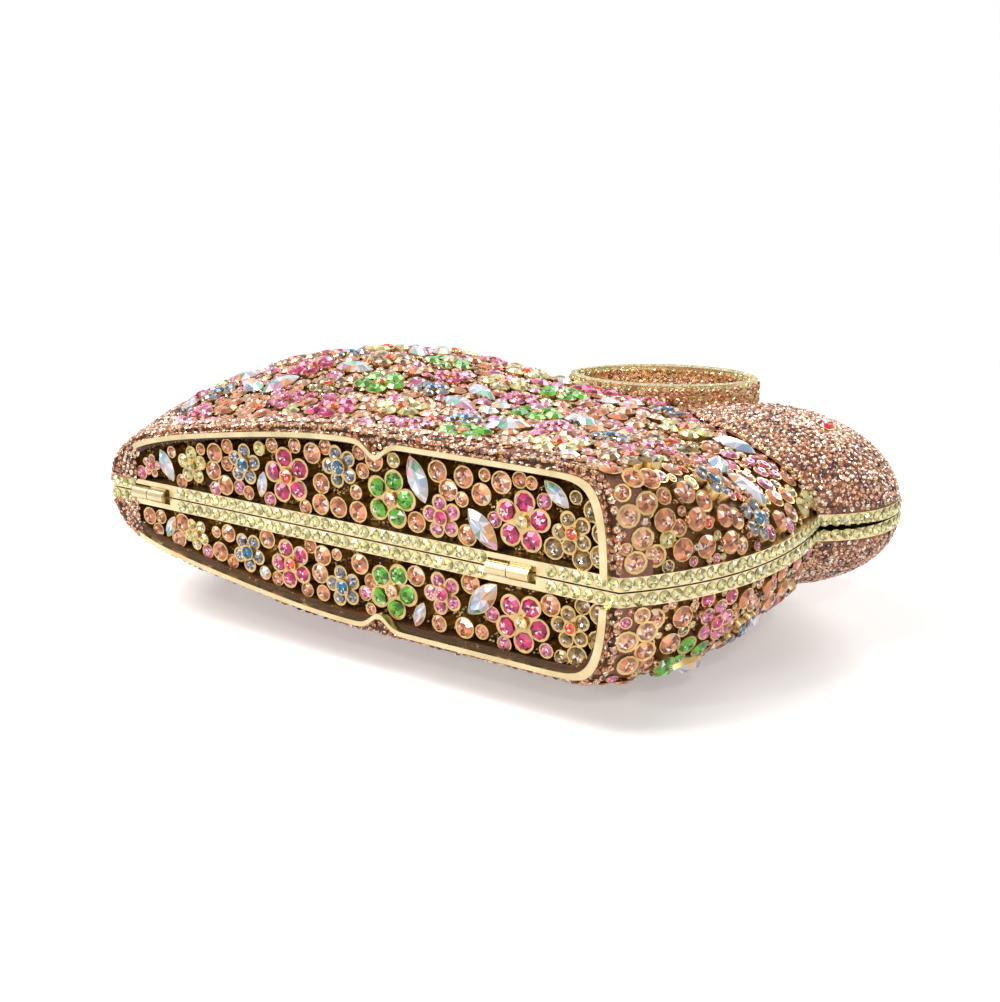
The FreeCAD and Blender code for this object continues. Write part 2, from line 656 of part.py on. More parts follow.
def eye(side):
    """Almond eye stone on the head."""
    half, bulge = EYE_LENGTH / 2, EYE_WIDTH / 2
    tip, tail = FreeCAD.Vector(half, 0, 0), FreeCAD.Vector(-half, 0, 0)
    upper = Part.Arc(tip, FreeCAD.Vector(0, bulge, 0), tail).toShape()
    lower = Part.Arc(tail, FreeCAD.Vector(0, -bulge, 0), tip).toShape()
    stone = Part.Face(Part.Wire([upper, lower])).extrude(FreeCAD.Vector(0, 0, EYE_RISE))
    normal = HEAD.normal(EYE_U, EYE_V, side)
    seat = place(EYE_U, EYE_V, side * HEAD.depth(EYE_U, EYE_V, side)) + normal * EYE_SEAT
    stone.Placement = FreeCAD.Placement(seat, FreeCAD.Rotation(FreeCAD.Vector(0, 0, 1), normal))
    return stone


def hinge_notch(end_u):
    """Room cut in both frames for one hinge."""
    return block(end_u - HINGE_LENGTH - NOTCH_CLEARANCE, end_u + NOTCH_RELIEF,
                 HINGE_V - NOTCH_R, HINGE_V + NOTCH_R, -NOTCH_R, NOTCH_R)


def magnet_centre_v():
    """Height of the magnets, just inside the top of the rim frame."""
    return BODY_MID_V + BODY_RISE - RIM_WIDTH - MAGNET_R - LUG_WALL


def magnet(side):
    """Disc magnet of the closure."""
    w = PARTING + MAGNET_SINK if side == FRONT else -PARTING - MAGNET_SINK - MAGNET_THICK
    return Part.makeCylinder(MAGNET_R, MAGNET_THICK, place(MAGNET_U, magnet_centre_v(), w))


def frame(side, outline):
    """Rim frame of one half: a band round the body, closed under the head, with the magnet's lug."""
    band = slab(outline, side, PARTING, RIM)
    band = band.cut(slab(plan(BODY, RIM_WIDTH, RECESS + SHELL), side, 0, 2 * RIM))
    reach, centre = MAGNET_R + LUG_WALL, magnet_centre_v()
    lug = block(MAGNET_U - reach, MAGNET_U + reach, centre - reach, centre + reach,
                side * PARTING, side * RIM)
    pocket = Part.makeCylinder(MAGNET_R + MAGNET_CLEARANCE, 2 * RIM, place(MAGNET_U, centre, -RIM))
    band = band.fuse(lug).removeSplitter().cut(pocket)
    for end_u in HINGE_ENDS.values():
        band = band.cut(hinge_notch(end_u))
    return band.cut(mouth(side))


def mouth(side):
    """Wedge that opens the parting gap at the chin and closes it towards the nose."""
    corners = [place(BODY_MID_U + BODY_CHEST_REACH - RIM_WIDTH, v, side * w)
               for v, w in ((MOUTH_V, 0), (MOUTH_V, PARTING + MOUTH_GAPE), (MOUTH_V + MOUTH_REACH, 0))]
    return Part.Face(Part.makePolygon(corners + corners[:1])).extrude(FreeCAD.Vector(FAR, 0, 0))


def rim_stones(side, outline):
    """Row of small stones round the outside of a rim frame, left out at the hinges."""
    middle = side * (PARTING + RIM) / 2
    stones = []
    for edge in outline.OuterWire.Edges:
        count = int(edge.Length / STONE_PITCH)
        for k in range(count):
            along = edge.getParameterByLength((k + 0.5) * edge.Length / count)
            point, tangent = edge.valueAt(along), edge.tangentAt(along)
            out = FreeCAD.Vector(tangent.y, -tangent.x, 0)
            if outline.isInside(point + out * STONE_R, PARTING, True):
                out = out * -1
            if not at_hinge(point):
                seat = point + out * STONE_SEAT + FreeCAD.Vector(0, 0, middle)
                stones.append(Part.makeCone(STONE_R, STONE_TABLE_R, STONE_RISE, seat, out))
    return Part.makeCompound(stones)


def at_hinge(point):
    """Whether a stone at this point of the rim would stand in a hinge's notch."""
    u, v = point.x + REST_U, point.y + REST_V
    if v > BARREL_R:
        return False
    return any(end - HINGE_LENGTH - NOTCH_CLEARANCE - STONE_R < u < end + NOTCH_RELIEF + STONE_R
               for end in HINGE_ENDS.values())


def knuckle(end_u, side):
    """One knuckle of a hinge, with the arm that joins it to its frame."""
    start_u = end_u - HINGE_LENGTH if side == REAR else end_u - KNUCKLE
    along = FreeCAD.Vector(1, 0, 0)
    barrel = Part.makeCylinder(BARREL_R, KNUCKLE, place(start_u, HINGE_V, 0), along)
    arm = block(start_u, start_u + KNUCKLE, HINGE_V, HINGE_V + NOTCH_R, 0, side * NOTCH_R)
    bore = Part.makeCylinder(PIN_R + PIN_CLEARANCE, KNUCKLE, place(start_u, HINGE_V, 0), along)
    return barrel.fuse(arm).removeSplitter().cut(bore)


def hinge_pin(end_u):
    """Pin through both knuckles of a hinge."""
    return Part.makeCylinder(PIN_R, HINGE_LENGTH, place(end_u - HINGE_LENGTH, HINGE_V, 0),
                             FreeCAD.Vector(1, 0, 0))


def strap_loop(toward_tail):
    """Wire loop on the inner edge of the rear frame."""
    tail, nose = BODY.reaches(LOOP_V, RIM_WIDTH)
    step = LOOP_R
    ahead, behind = BODY.reaches(LOOP_V + step, RIM_WIDTH), BODY.reaches(LOOP_V - step, RIM_WIDTH)
    inward = 1 if toward_tail else -1
    u = BODY_MID_U - tail if toward_tail else BODY_MID_U + nose
    lean = (ahead[0] - behind[0]) if toward_tail else (ahead[1] - behind[1])
    normal = FreeCAD.Vector(inward * 2 * step, lean, 0).normalize()
    ring = Part.makeTorus(LOOP_R, LOOP_WIRE_R)
    half = ring.common(Part.makeBox(FAR, FAR, FAR, FreeCAD.Vector(0, -FAR / 2, -FAR / 2)))
    seat = place(u, LOOP_V, -(PARTING + RIM) / 2) + normal * LOOP_SEAT
    half.Placement = FreeCAD.Placement(seat, FreeCAD.Rotation(FreeCAD.Vector(1, 0, 0), normal))
    return half


def all_pieces():
    """Every piece of the case by its name."""
    outline = case_plan()
    pieces = {}
    for side, name in SIDES.items():
        pieces[name + "_openwork"] = openwork(side)
        pieces[name + "_shell"] = shell(side)
        pieces[name + "_lining"] = lining(side)
        pieces[name + "_head"] = head_casing(side)
        pieces[name + "_ear"] = ear(side)
        pieces[name + "_eye"] = eye(side)
        pieces[name + "_base_lip"] = base_lip(side)
        pieces[name + "_base_panel"] = base_panel(side)
        pieces[name + "_frame"] = frame(side, outline)
        pieces[name + "_rim_stones"] = rim_stones(side, outline)
        pieces[name + "_magnet"] = magnet(side)
        for hand, end_u in HINGE_ENDS.items():
            pieces[hand + "_hinge_" + name + "_knuckle"] = knuckle(end_u, side)
    for hand, end_u in HINGE_ENDS.items():
        pieces[hand + "_hinge_pin"] = hinge_pin(end_u)
        pieces[hand + "_strap_loop"] = strap_loop(hand == "left")
    return pieces


os.makedirs("parts", exist_ok=True)
for piece_name, shape in all_pieces().items():
    shape.exportStep("parts/" + piece_name + ".step")
    print(piece_name, "solids", len(shape.Solids), "faces", len(shape.Faces), "valid", shape.isValid())
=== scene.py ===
"""Looks of a stone-set evening case shaped as a crouching rabbit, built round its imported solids."""

import json
import logging
import math
import random
from dataclasses import dataclass, field
from enum import Enum, IntEnum
from typing import Callable, Collection, Optional, Sequence

import bpy
import numpy as np
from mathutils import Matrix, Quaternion, Vector
from mathutils.bvhtree import BVHTree
from mathutils.kdtree import KDTree

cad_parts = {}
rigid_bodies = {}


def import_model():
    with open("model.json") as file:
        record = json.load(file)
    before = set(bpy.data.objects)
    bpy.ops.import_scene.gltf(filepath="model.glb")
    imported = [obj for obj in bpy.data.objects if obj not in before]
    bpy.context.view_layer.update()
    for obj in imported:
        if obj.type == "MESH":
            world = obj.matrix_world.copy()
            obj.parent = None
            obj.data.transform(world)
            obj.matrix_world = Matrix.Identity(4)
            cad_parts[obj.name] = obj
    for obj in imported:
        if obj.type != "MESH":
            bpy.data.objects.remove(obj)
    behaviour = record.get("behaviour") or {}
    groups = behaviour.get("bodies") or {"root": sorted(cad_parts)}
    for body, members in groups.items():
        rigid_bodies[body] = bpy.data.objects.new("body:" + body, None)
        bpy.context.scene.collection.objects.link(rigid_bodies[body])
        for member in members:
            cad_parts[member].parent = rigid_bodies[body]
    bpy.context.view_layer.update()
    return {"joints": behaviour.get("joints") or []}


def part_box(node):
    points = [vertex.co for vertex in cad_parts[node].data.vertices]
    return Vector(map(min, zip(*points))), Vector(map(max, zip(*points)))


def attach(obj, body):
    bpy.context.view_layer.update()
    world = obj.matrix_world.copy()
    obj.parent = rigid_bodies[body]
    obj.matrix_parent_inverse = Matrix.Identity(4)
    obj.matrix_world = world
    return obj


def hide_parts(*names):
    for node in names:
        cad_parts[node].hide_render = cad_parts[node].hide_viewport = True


log = logging.getLogger("evening_case")

MM = 0.001
TONE = "tone"
PETALS = 5
TINY = 1e-9

# Display encoding of a colour channel
FULL = 255
KNEE = 0.04045
SLOPE = 12.92
OFFSET = 0.055
POWER = 2.4

# Least share of a normal that counts as facing a direction, and of a summed normal that counts as flat
FACING = 0.9
FLAT = 0.9995

Colour = tuple[float, float, float]
Place = tuple[float, float, float]
Range = tuple[float, float]
Keep = Callable[[Vector, Vector], bool]


class Side(Enum):
    """The two halves of the case; the value is the half's direction from the parting plane."""

    FRONT = 1
    REAR = -1

    @property
    def word(self) -> str:
        """The half's name as the nodes spell it."""
        return self.name.lower()

    @property
    def body(self) -> str:
        """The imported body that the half's pieces ride on."""
        return f"{self.word}_half"


class Seed(IntEnum):
    """What each part of a half adds to the half's own seed."""

    FLANK = 0
    BASE = 1
    BAND = 2
    HEAD = 3
    RIM = 4
    EAR = 5
    HOLLOW = 6
    EYE = 7
    EAR_WALL = 8
    FOOT = 9
    LIP = 10
    NECK = 12
    BASE_GRAINS = 60
    FLANK_GRAINS = 61


class Ground(IntEnum):
    """Place of a face's material in the list of the openwork and of the base panel."""

    FLOOR = 0
    CUP = 1
    PAVE = 2
    # Ground of the faces turned to the base, painted darker than the flank's as shade of the recess
    RECESS = 3


def linear(red: int, green: int, blue: int) -> Colour:
    """Scene-linear colour of a display colour.

    Args:
        red: Red, 0 to 255.
        green: Green, 0 to 255.
        blue: Blue, 0 to 255.

    Returns:
        The colour as three linear shares.
    """
    shares = (channel / FULL for channel in (red, green, blue))
    return tuple(s / SLOPE if s <= KNEE else ((s + OFFSET) / (1 + OFFSET)) ** POWER for s in shares)


class Tint(Enum):
    """Colours of the stones."""

    ROSE = linear(196, 40, 104)
    PINK = linear(212, 112, 152)
    GREEN = linear(92, 172, 30)
    GREY = linear(120, 120, 130)
    BLUE = linear(0, 104, 146)
    JONQUIL = linear(206, 196, 128)
    OLIVE = linear(222, 214, 146)
    SMOKY = linear(144, 112, 62)
    ORANGE = linear(232, 62, 14)
    PEACH = linear(206, 128, 84)
    PALE_PEACH = linear(214, 156, 118)
    TAN = linear(208, 146, 100)
    BLUSH = linear(234, 200, 168)
    COPPER = linear(150, 90, 64)
    DUSK = linear(96, 52, 38)
    AMBER = linear(214, 136, 62)
    RED = linear(196, 16, 30)
    AURORA = linear(236, 234, 240)
    GOLD = linear(226, 206, 150)


PAVE = (Tint.TAN, Tint.TAN, Tint.PEACH, Tint.COPPER, Tint.PALE_PEACH, Tint.PALE_PEACH, Tint.DUSK,
        Tint.BLUSH)
PALE_PAVE = (Tint.PEACH, Tint.TAN, Tint.PALE_PEACH, Tint.BLUSH)
AMBER_PAVE = (Tint.AMBER, Tint.AMBER, Tint.AMBER, Tint.AMBER, Tint.SMOKY, Tint.COPPER)
LID_PAVE = (Tint.JONQUIL, Tint.BLUSH, Tint.GOLD)


@dataclass(frozen=True)
class BloomKind:
    """A flower pattern, a ring of petals round a raised centre, or a single stone. Sizes in millimetres."""

    petal: Tint
    petal_radius: float
    ring: float = 0.0
    centre: Optional[Tint] = None
    centre_radius: float = 0.0

    @property
    def single(self) -> bool:
        """Whether it is one stone by itself."""
        return self.ring == 0.0

    @property
    def reach(self) -> float:
        """Radius of the whole flower."""
        return self.ring + self.petal_radius


class Bloom(Enum):
    """The flowers and single stones that the skin is made of."""

    ROSE = BloomKind(Tint.ROSE, 2.15, 3.85, Tint.ORANGE, 1.5)
    ROSE_KNOB = BloomKind(Tint.ROSE, 2.3, 4.1, Tint.GOLD, 1.35)
    GREEN = BloomKind(Tint.GREEN, 2.05, 3.6, Tint.PALE_PEACH, 1.25)
    PINK = BloomKind(Tint.PINK, 1.5, 2.75, Tint.ROSE, 1.35)
    GREY = BloomKind(Tint.GREY, 1.5, 2.85, Tint.BLUE, 1.5)
    JONQUIL = BloomKind(Tint.JONQUIL, 1.95, 3.45, Tint.ORANGE, 1.4)
    JONQUIL_PLAIN = BloomKind(Tint.JONQUIL, 1.95, 3.4, Tint.JONQUIL, 1.3)
    SMOKY = BloomKind(Tint.SMOKY, 2.15, 3.8, Tint.ORANGE, 1.6)
    PEACH = BloomKind(Tint.PEACH, 2.1)
    SMALL_PEACH = BloomKind(Tint.PEACH, 1.5)
    PINK_ROUND = BloomKind(Tint.PINK, 1.8)
    JONQUIL_ROUND = BloomKind(Tint.JONQUIL, 1.8)
    AURORA_ROUND = BloomKind(Tint.AURORA, 2.0)


@dataclass(frozen=True)
class Spot:
    """A chosen place for a flower, in millimetres along, up and across the case."""

    kind: Bloom
    along: float
    up: float
    across: float


def spots_of(places: dict[Bloom, Sequence[Place]]) -> tuple[Spot, ...]:
    """Chosen places, from the places of each kind of flower.

    Args:
        places: Millimetres along, up and across, by kind.

    Returns:
        One spot for each place.
    """
    return tuple(Spot(kind, *place) for kind, row in places.items() for place in row)


@dataclass(frozen=True)
class CasePlace:
    """Where the case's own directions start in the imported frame, in metres."""

    along_zero: float
    up_zero: float
    parting: float
    rim: float

    @classmethod
    def read(cls, joints: Sequence[dict]) -> "CasePlace":
        """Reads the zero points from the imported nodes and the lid's hinge.

        Args:
            joints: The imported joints.

        Returns:
            The place of the case.
        """
        parting = joints[0]["pos_m"][2]
        return cls(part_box("left_hinge_front_knuckle")[1].x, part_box("front_openwork")[0].y, parting,
                   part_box("front_openwork")[0].z - parting)

    def point(self, along: float, up: float, across: float, side: Side) -> Vector:
        """Point of one half, from millimetres along, up and across."""
        return Vector((self.along_zero + along * MM, self.up_zero + up * MM,
                       self.parting + side.value * across * MM))

    def along(self, point: Vector) -> float:
        """Millimetres along the hinge line."""
        return (point.x - self.along_zero) / MM

    def up(self, point: Vector) -> float:
        """Millimetres above the base."""
        return (point.y - self.up_zero) / MM


def deselect() -> None:
    """Leaves edit mode and deselects every object."""
    if bpy.context.mode != "OBJECT":
        bpy.ops.object.mode_set(mode="OBJECT")
    bpy.ops.object.select_all(action="DESELECT")


def edit(piece: bpy.types.Object) -> None:
    """Makes a piece the only one selected and opens it in edit mode, with nothing selected in it.

    Args:
        piece: The piece to open.
    """
    deselect()
    piece.select_set(True)
    bpy.context.view_layer.objects.active = piece
    bpy.ops.object.mode_set(mode="EDIT")
    bpy.ops.mesh.select_mode(type="FACE")
    bpy.ops.mesh.select_all(action="DESELECT")


def select_faces(piece: bpy.types.Object, chosen: Callable[[bpy.types.MeshPolygon], bool]) -> None:
    """Selects the faces of the piece in edit mode that a test accepts.

    Args:
        piece: The piece that is open in edit mode.
        chosen: Says whether a face is wanted.
    """
    bpy.ops.object.mode_set(mode="OBJECT")
    for face in piece.data.polygons:
        face.select = chosen(face)
    bpy.ops.object.mode_set(mode="EDIT")


class Master:
    """A small shape that is modelled once and copied many times."""

    def __init__(self, piece: bpy.types.Object) -> None:
        """Takes the mesh of a modelled piece, which is then removed.

        Args:
            piece: The finished model, at unit size about the origin, facing +Z.
        """
        deselect()
        mesh = piece.data
        self.points = np.array([v.co for v in mesh.vertices], float)
        self.loops = np.array([l.vertex_index for l in mesh.loops], np.int32)
        self.counts = np.array([p.loop_total for p in mesh.polygons], np.int32)
        self.starts = np.concatenate(([0], np.cumsum(self.counts)[:-1])).astype(np.int32)
        self.centres = np.array([p.center for p in mesh.polygons], float)
        bpy.data.objects.remove(piece)
        bpy.data.meshes.remove(mesh)


@dataclass
class Cuts:
    """The cut stones, cups and beads that every part of the case is set with, as shares of their radius."""

    table: float = 0.62
    crown: float = 0.34
    pavilion: float = 0.45
    star_width: float = 0.38
    dish: float = 0.42
    leaf_crown: float = 0.255
    leaf_pavilion: float = 0.27
    leaf_slim: float = 0.47
    leaf_tip: float = 0.35
    cup_wall: float = 0.13
    cup_seat: float = 0.22
    cup_foot: float = 0.72
    round_sides: int = 8
    small_sides: int = 6
    leaf_sides: int = 12
    cup_sides: int = 12
    leaf_cup_sides: int = 16

    def __post_init__(self) -> None:
        """Models each shape once."""
        self.round = Master(self._stone(self.round_sides, self.crown, self.pavilion, star=True))
        self.small = Master(self._stone(self.small_sides, self.crown, self.pavilion, star=False))
        leaf = self._stone(self.leaf_sides, self.leaf_crown, self.leaf_pavilion, star=False)
        self.leaf = Master(self._leaf_shape(leaf))
        self.cup = Master(self._cup(self.cup_sides))
        self.leaf_cup = Master(self._leaf_shape(self._cup(self.leaf_cup_sides)))
        self.bead = Master(self._bead())

    def _stone(self, sides: int, crown: float, pavilion: float, star: bool) -> bpy.types.Object:
        """A round cut: crown, sunk table and pointed back, with its girdle at height 0.

        Args:
            sides: Number of crown facets.
            crown: Crown height.
            pavilion: Depth of the back.
            star: Whether the table has a star of small facets round its middle.

        Returns:
            The modelled stone.
        """
        deselect()
        bpy.ops.mesh.primitive_cone_add(vertices=sides, radius1=1.0, radius2=self.table, depth=crown,
                                        location=(0, 0, crown / 2))
        stone = bpy.context.active_object
        bpy.ops.object.transform_apply()
        edit(stone)
        select_faces(stone, lambda f: f.normal.z < -FACING)
        bpy.ops.mesh.poke(offset=pavilion)
        select_faces(stone, lambda f: f.normal.z > FACING)
        if star:
            bpy.ops.mesh.inset(thickness=self.table * self.star_width)
            bpy.ops.transform.rotate(value=math.pi / sides, orient_axis="Z", center_override=(0, 0, crown))
        bpy.ops.mesh.poke(offset=-crown * self.dish)
        bpy.ops.mesh.select_all(action="SELECT")
        bpy.ops.mesh.quads_convert_to_tris()
        bpy.ops.object.mode_set(mode="OBJECT")
        return stone

    def _leaf_shape(self, piece: bpy.types.Object) -> bpy.types.Object:
        """Draws a round piece out to a pointed leaf.

        Args:
            piece: A round piece of unit radius.

        Returns:
            The same piece.
        """
        for vertex in piece.data.vertices:
            reach = math.hypot(vertex.co.x, vertex.co.y)
            if reach > TINY:
                lean = abs(vertex.co.y) / reach
                vertex.co.y *= self.leaf_slim * (self.leaf_tip + (1 - self.leaf_tip) * lean)
        return piece

    def _cup(self, sides: int) -> bpy.types.Object:
        """An open cup of unit radius and height, with its rim at height 0 and a narrower foot.

        Args:
            sides: Number of flats round the cup.

        Returns:
            The modelled cup.
        """
        deselect()
        bpy.ops.mesh.primitive_cylinder_add(vertices=sides, radius=1.0, depth=1.0, location=(0, 0, -0.5))
        cup = bpy.context.active_object
        bpy.ops.object.transform_apply()
        edit(cup)
        select_faces(cup, lambda f: f.normal.z > FACING)
        bpy.ops.mesh.inset(thickness=self.cup_wall)
        bpy.ops.mesh.extrude_region_move(TRANSFORM_OT_translate={"value": (0, 0, -self.cup_seat)})
        select_faces(cup, lambda f: f.normal.z < -FACING)
        bpy.ops.transform.resize(value=(self.cup_foot, self.cup_foot, 1.0), center_override=(0, 0, -1.0))
        bpy.ops.object.mode_set(mode="OBJECT")
        return cup

    def _bead(self) -> bpy.types.Object:
        """A tiny ball of unit radius.

        Returns:
            The ball.
        """
        deselect()
        bpy.ops.mesh.primitive_ico_sphere_add(subdivisions=1, radius=1.0)
        return bpy.context.active_object


@dataclass
class Setting:
    """One copy of a master shape: where it sits, how it is turned and how large it is, in metres."""

    seat: Vector
    out: Vector
    size: Vector
    spin: float = 0.0
    ahead: Optional[Vector] = None
    tint: Tint = Tint.PEACH


def even(size: float) -> Vector:
    """The same size in each direction."""
    return Vector((size, size, size))


def turned_frames(settings: Sequence[Setting], steep: float = 0.8) -> np.ndarray:
    """Axes of each copy, scaled to its size, as columns.

    Args:
        settings: The copies.
        steep: Share of X in a direction past which a copy without a guide is turned from Y.

    Returns:
        An array of one 3 by 3 matrix per copy.
    """
    out = np.array([s.out.normalized() for s in settings], float)
    guide = np.array([s.ahead if s.ahead is not None else
                      ((1, 0, 0) if abs(s.out.x) < steep else (0, 1, 0)) for s in settings], float)
    first = guide - (guide * out).sum(1, keepdims=True) * out
    first /= np.linalg.norm(first, axis=1, keepdims=True)
    second = np.cross(out, first)
    spin = np.array([s.spin for s in settings])[:, None]
    ahead = first * np.cos(spin) + second * np.sin(spin)
    beside = np.cross(out, ahead)
    size = np.array([s.size for s in settings], float)
    return np.stack((ahead * size[:, :1], beside * size[:, 1:2], out * size[:, 2:]), axis=2)


@dataclass
class FacetTones:
    """Paints light into the facets of cut stones: darker and lighter tones of their colour as painted
    reflections and painted shade, and near-white painted highlights.
    """

    seed: int
    folds: tuple[float, ...] = (2.0, 2.0, 3.0)
    jitter: float = 0.22
    table_reach: float = 0.5
    # Tones of the table's and the crown's facets in a wave round the stone: painted reflections and painted
    # shade
    table_low: float = 0.16
    table_swing: float = 1.05
    crown_low: float = 0.5
    crown_swing: float = 0.6
    stone_range: Range = (0.85, 1.12)
    depth_range: Range = (0.12, 1.45)
    # Facets below this tone are deepened and made more saturated, as painted shade
    dark: float = 0.6
    dark_power: float = 1.25
    # Shares of table and crown facets given a painted highlight of near white, how strongly, and how white
    table_sparks: float = 0.16
    crown_sparks: float = 0.07
    spark_range: Range = (0.45, 0.9)
    spark_white: float = 0.85
    films: tuple[Colour, ...] = (linear(232, 234, 244), linear(168, 200, 240), linear(158, 222, 196),
                                 linear(240, 176, 206), linear(248, 186, 120), linear(238, 236, 244))
    plain_share: float = 0.35
    film_range: Range = (0.4, 1.0)

    def __post_init__(self) -> None:
        """Starts the random draws."""
        self.rng = np.random.default_rng(self.seed)

    def paint(self, master: Master, settings: Sequence[Setting]) -> np.ndarray:
        """Colours of every facet of every stone, with painted reflections, painted shade and painted
        highlights.

        Args:
            master: The cut.
            settings: The stones.

        Returns:
            An array of stones by facets by three.
        """
        colour = np.array([s.tint.value for s in settings], float)[:, None, :]
        stones, facets = len(settings), len(master.centres)
        angle = np.arctan2(master.centres[:, 1], master.centres[:, 0])
        phase = self.rng.uniform(0, math.tau, (stones, 1))
        fold = self.rng.choice(self.folds, (stones, 1))
        # Lighter and darker facets in a wave round the stone: painted reflections and painted shade of the
        # foil
        wave = 0.5 + 0.5 * np.cos(fold * (angle[None, :] - phase))
        jitter = self.rng.uniform(-self.jitter, self.jitter, (stones, facets))
        inner = (np.hypot(master.centres[:, 0], master.centres[:, 1]) < self.table_reach)[None, :]
        depth = np.where(inner, self.table_low + self.table_swing * wave,
                         self.crown_low + self.crown_swing * wave) + jitter
        depth *= self.rng.uniform(*self.stone_range, (stones, 1))
        depth = np.clip(depth, *self.depth_range)[:, :, None]
        # The facet tones with the dark ones deepened: painted reflections and painted shade
        tone = colour ** np.where(depth < self.dark, self.dark_power, 1.0) * depth
        # Painted highlights: some facets are mixed towards near white
        painted_highlight_odds = np.where(inner, self.table_sparks, self.crown_sparks)
        painted_highlight = self.rng.uniform(0, 1, (stones, facets)) < painted_highlight_odds
        share = (painted_highlight * self.rng.uniform(*self.spark_range, (stones, facets)))[:, :, None]
        white = self.spark_white + (1 - self.spark_white) * colour
        return np.clip(tone * (1 - share) + share * white, 0.0, 1.0)

    def aurora(self, master: Master, settings: Sequence[Setting]) -> np.ndarray:
        """Pastel facets of the clear stones with a rainbow coat.

        Args:
            master: The cut.
            settings: The stones.

        Returns:
            An array of stones by facets by three.
        """
        films = np.array(self.films)
        stones, facets = len(settings), len(master.centres)
        angle = np.arctan2(master.centres[:, 1], master.centres[:, 0])
        swing = (angle[None, :] / math.tau + self.rng.uniform(0, 1, (stones, 1))) % 1.0
        pick = (swing * len(films)).astype(int) % len(films)
        pick = np.where(self.rng.uniform(0, 1, (stones, facets)) < self.plain_share, 0, pick)
        return films[pick] * self.rng.uniform(*self.film_range, (stones, facets, 1))


def merged_copies(name: str, master: Master, settings: Sequence[Setting],
                  tones: Optional[np.ndarray] = None, smooth: bool = False,
                  crease: float = math.radians(40)) -> bpy.types.Object:
    """Copies a master to every setting, as one piece.

    Args:
        name: The piece's name.
        master: The shape to copy.
        settings: The copies.
        tones: Colours of stones by facets by three, with the painted reflections, shade and highlights of
            the foiled stones, kept as a colour attribute.
        smooth: Whether the copies are shaded smooth.
        crease: Angle past which an edge of a smooth copy stays sharp.

    Returns:
        The new piece.
    """
    frames = turned_frames(settings)
    seats = np.array([s.seat for s in settings], float)
    points = np.einsum("nij,vj->nvi", frames, master.points) + seats[:, None, :]
    copies, verts = len(settings), len(master.points)
    shift = np.arange(copies, dtype=np.int32)[:, None]
    mesh = bpy.data.meshes.new(name)
    mesh.vertices.add(copies * verts)
    mesh.vertices.foreach_set("co", points.astype(np.float32).ravel())
    mesh.loops.add(copies * len(master.loops))
    mesh.loops.foreach_set("vertex_index", (master.loops[None, :] + shift * verts).ravel())
    mesh.polygons.add(copies * len(master.counts))
    mesh.polygons.foreach_set("loop_start", (master.starts[None, :] + shift * len(master.loops)).ravel())
    mesh.update(calc_edges=True)
    mesh.validate()
    if tones is not None:
        rgba = np.concatenate((tones, np.ones((*tones.shape[:2], 1))), axis=2)
        layer = mesh.color_attributes.new(TONE, "FLOAT_COLOR", "CORNER")
        corners = np.repeat(rgba, master.counts, axis=1)
        layer.data.foreach_set("color", corners.astype(np.float32).ravel())
    if smooth:
        mesh.shade_smooth()
        mesh.set_sharp_from_angle(angle=crease)
    else:
        mesh.shade_flat()
    piece = bpy.data.objects.new(name, mesh)
    bpy.context.scene.collection.objects.link(piece)
    return piece


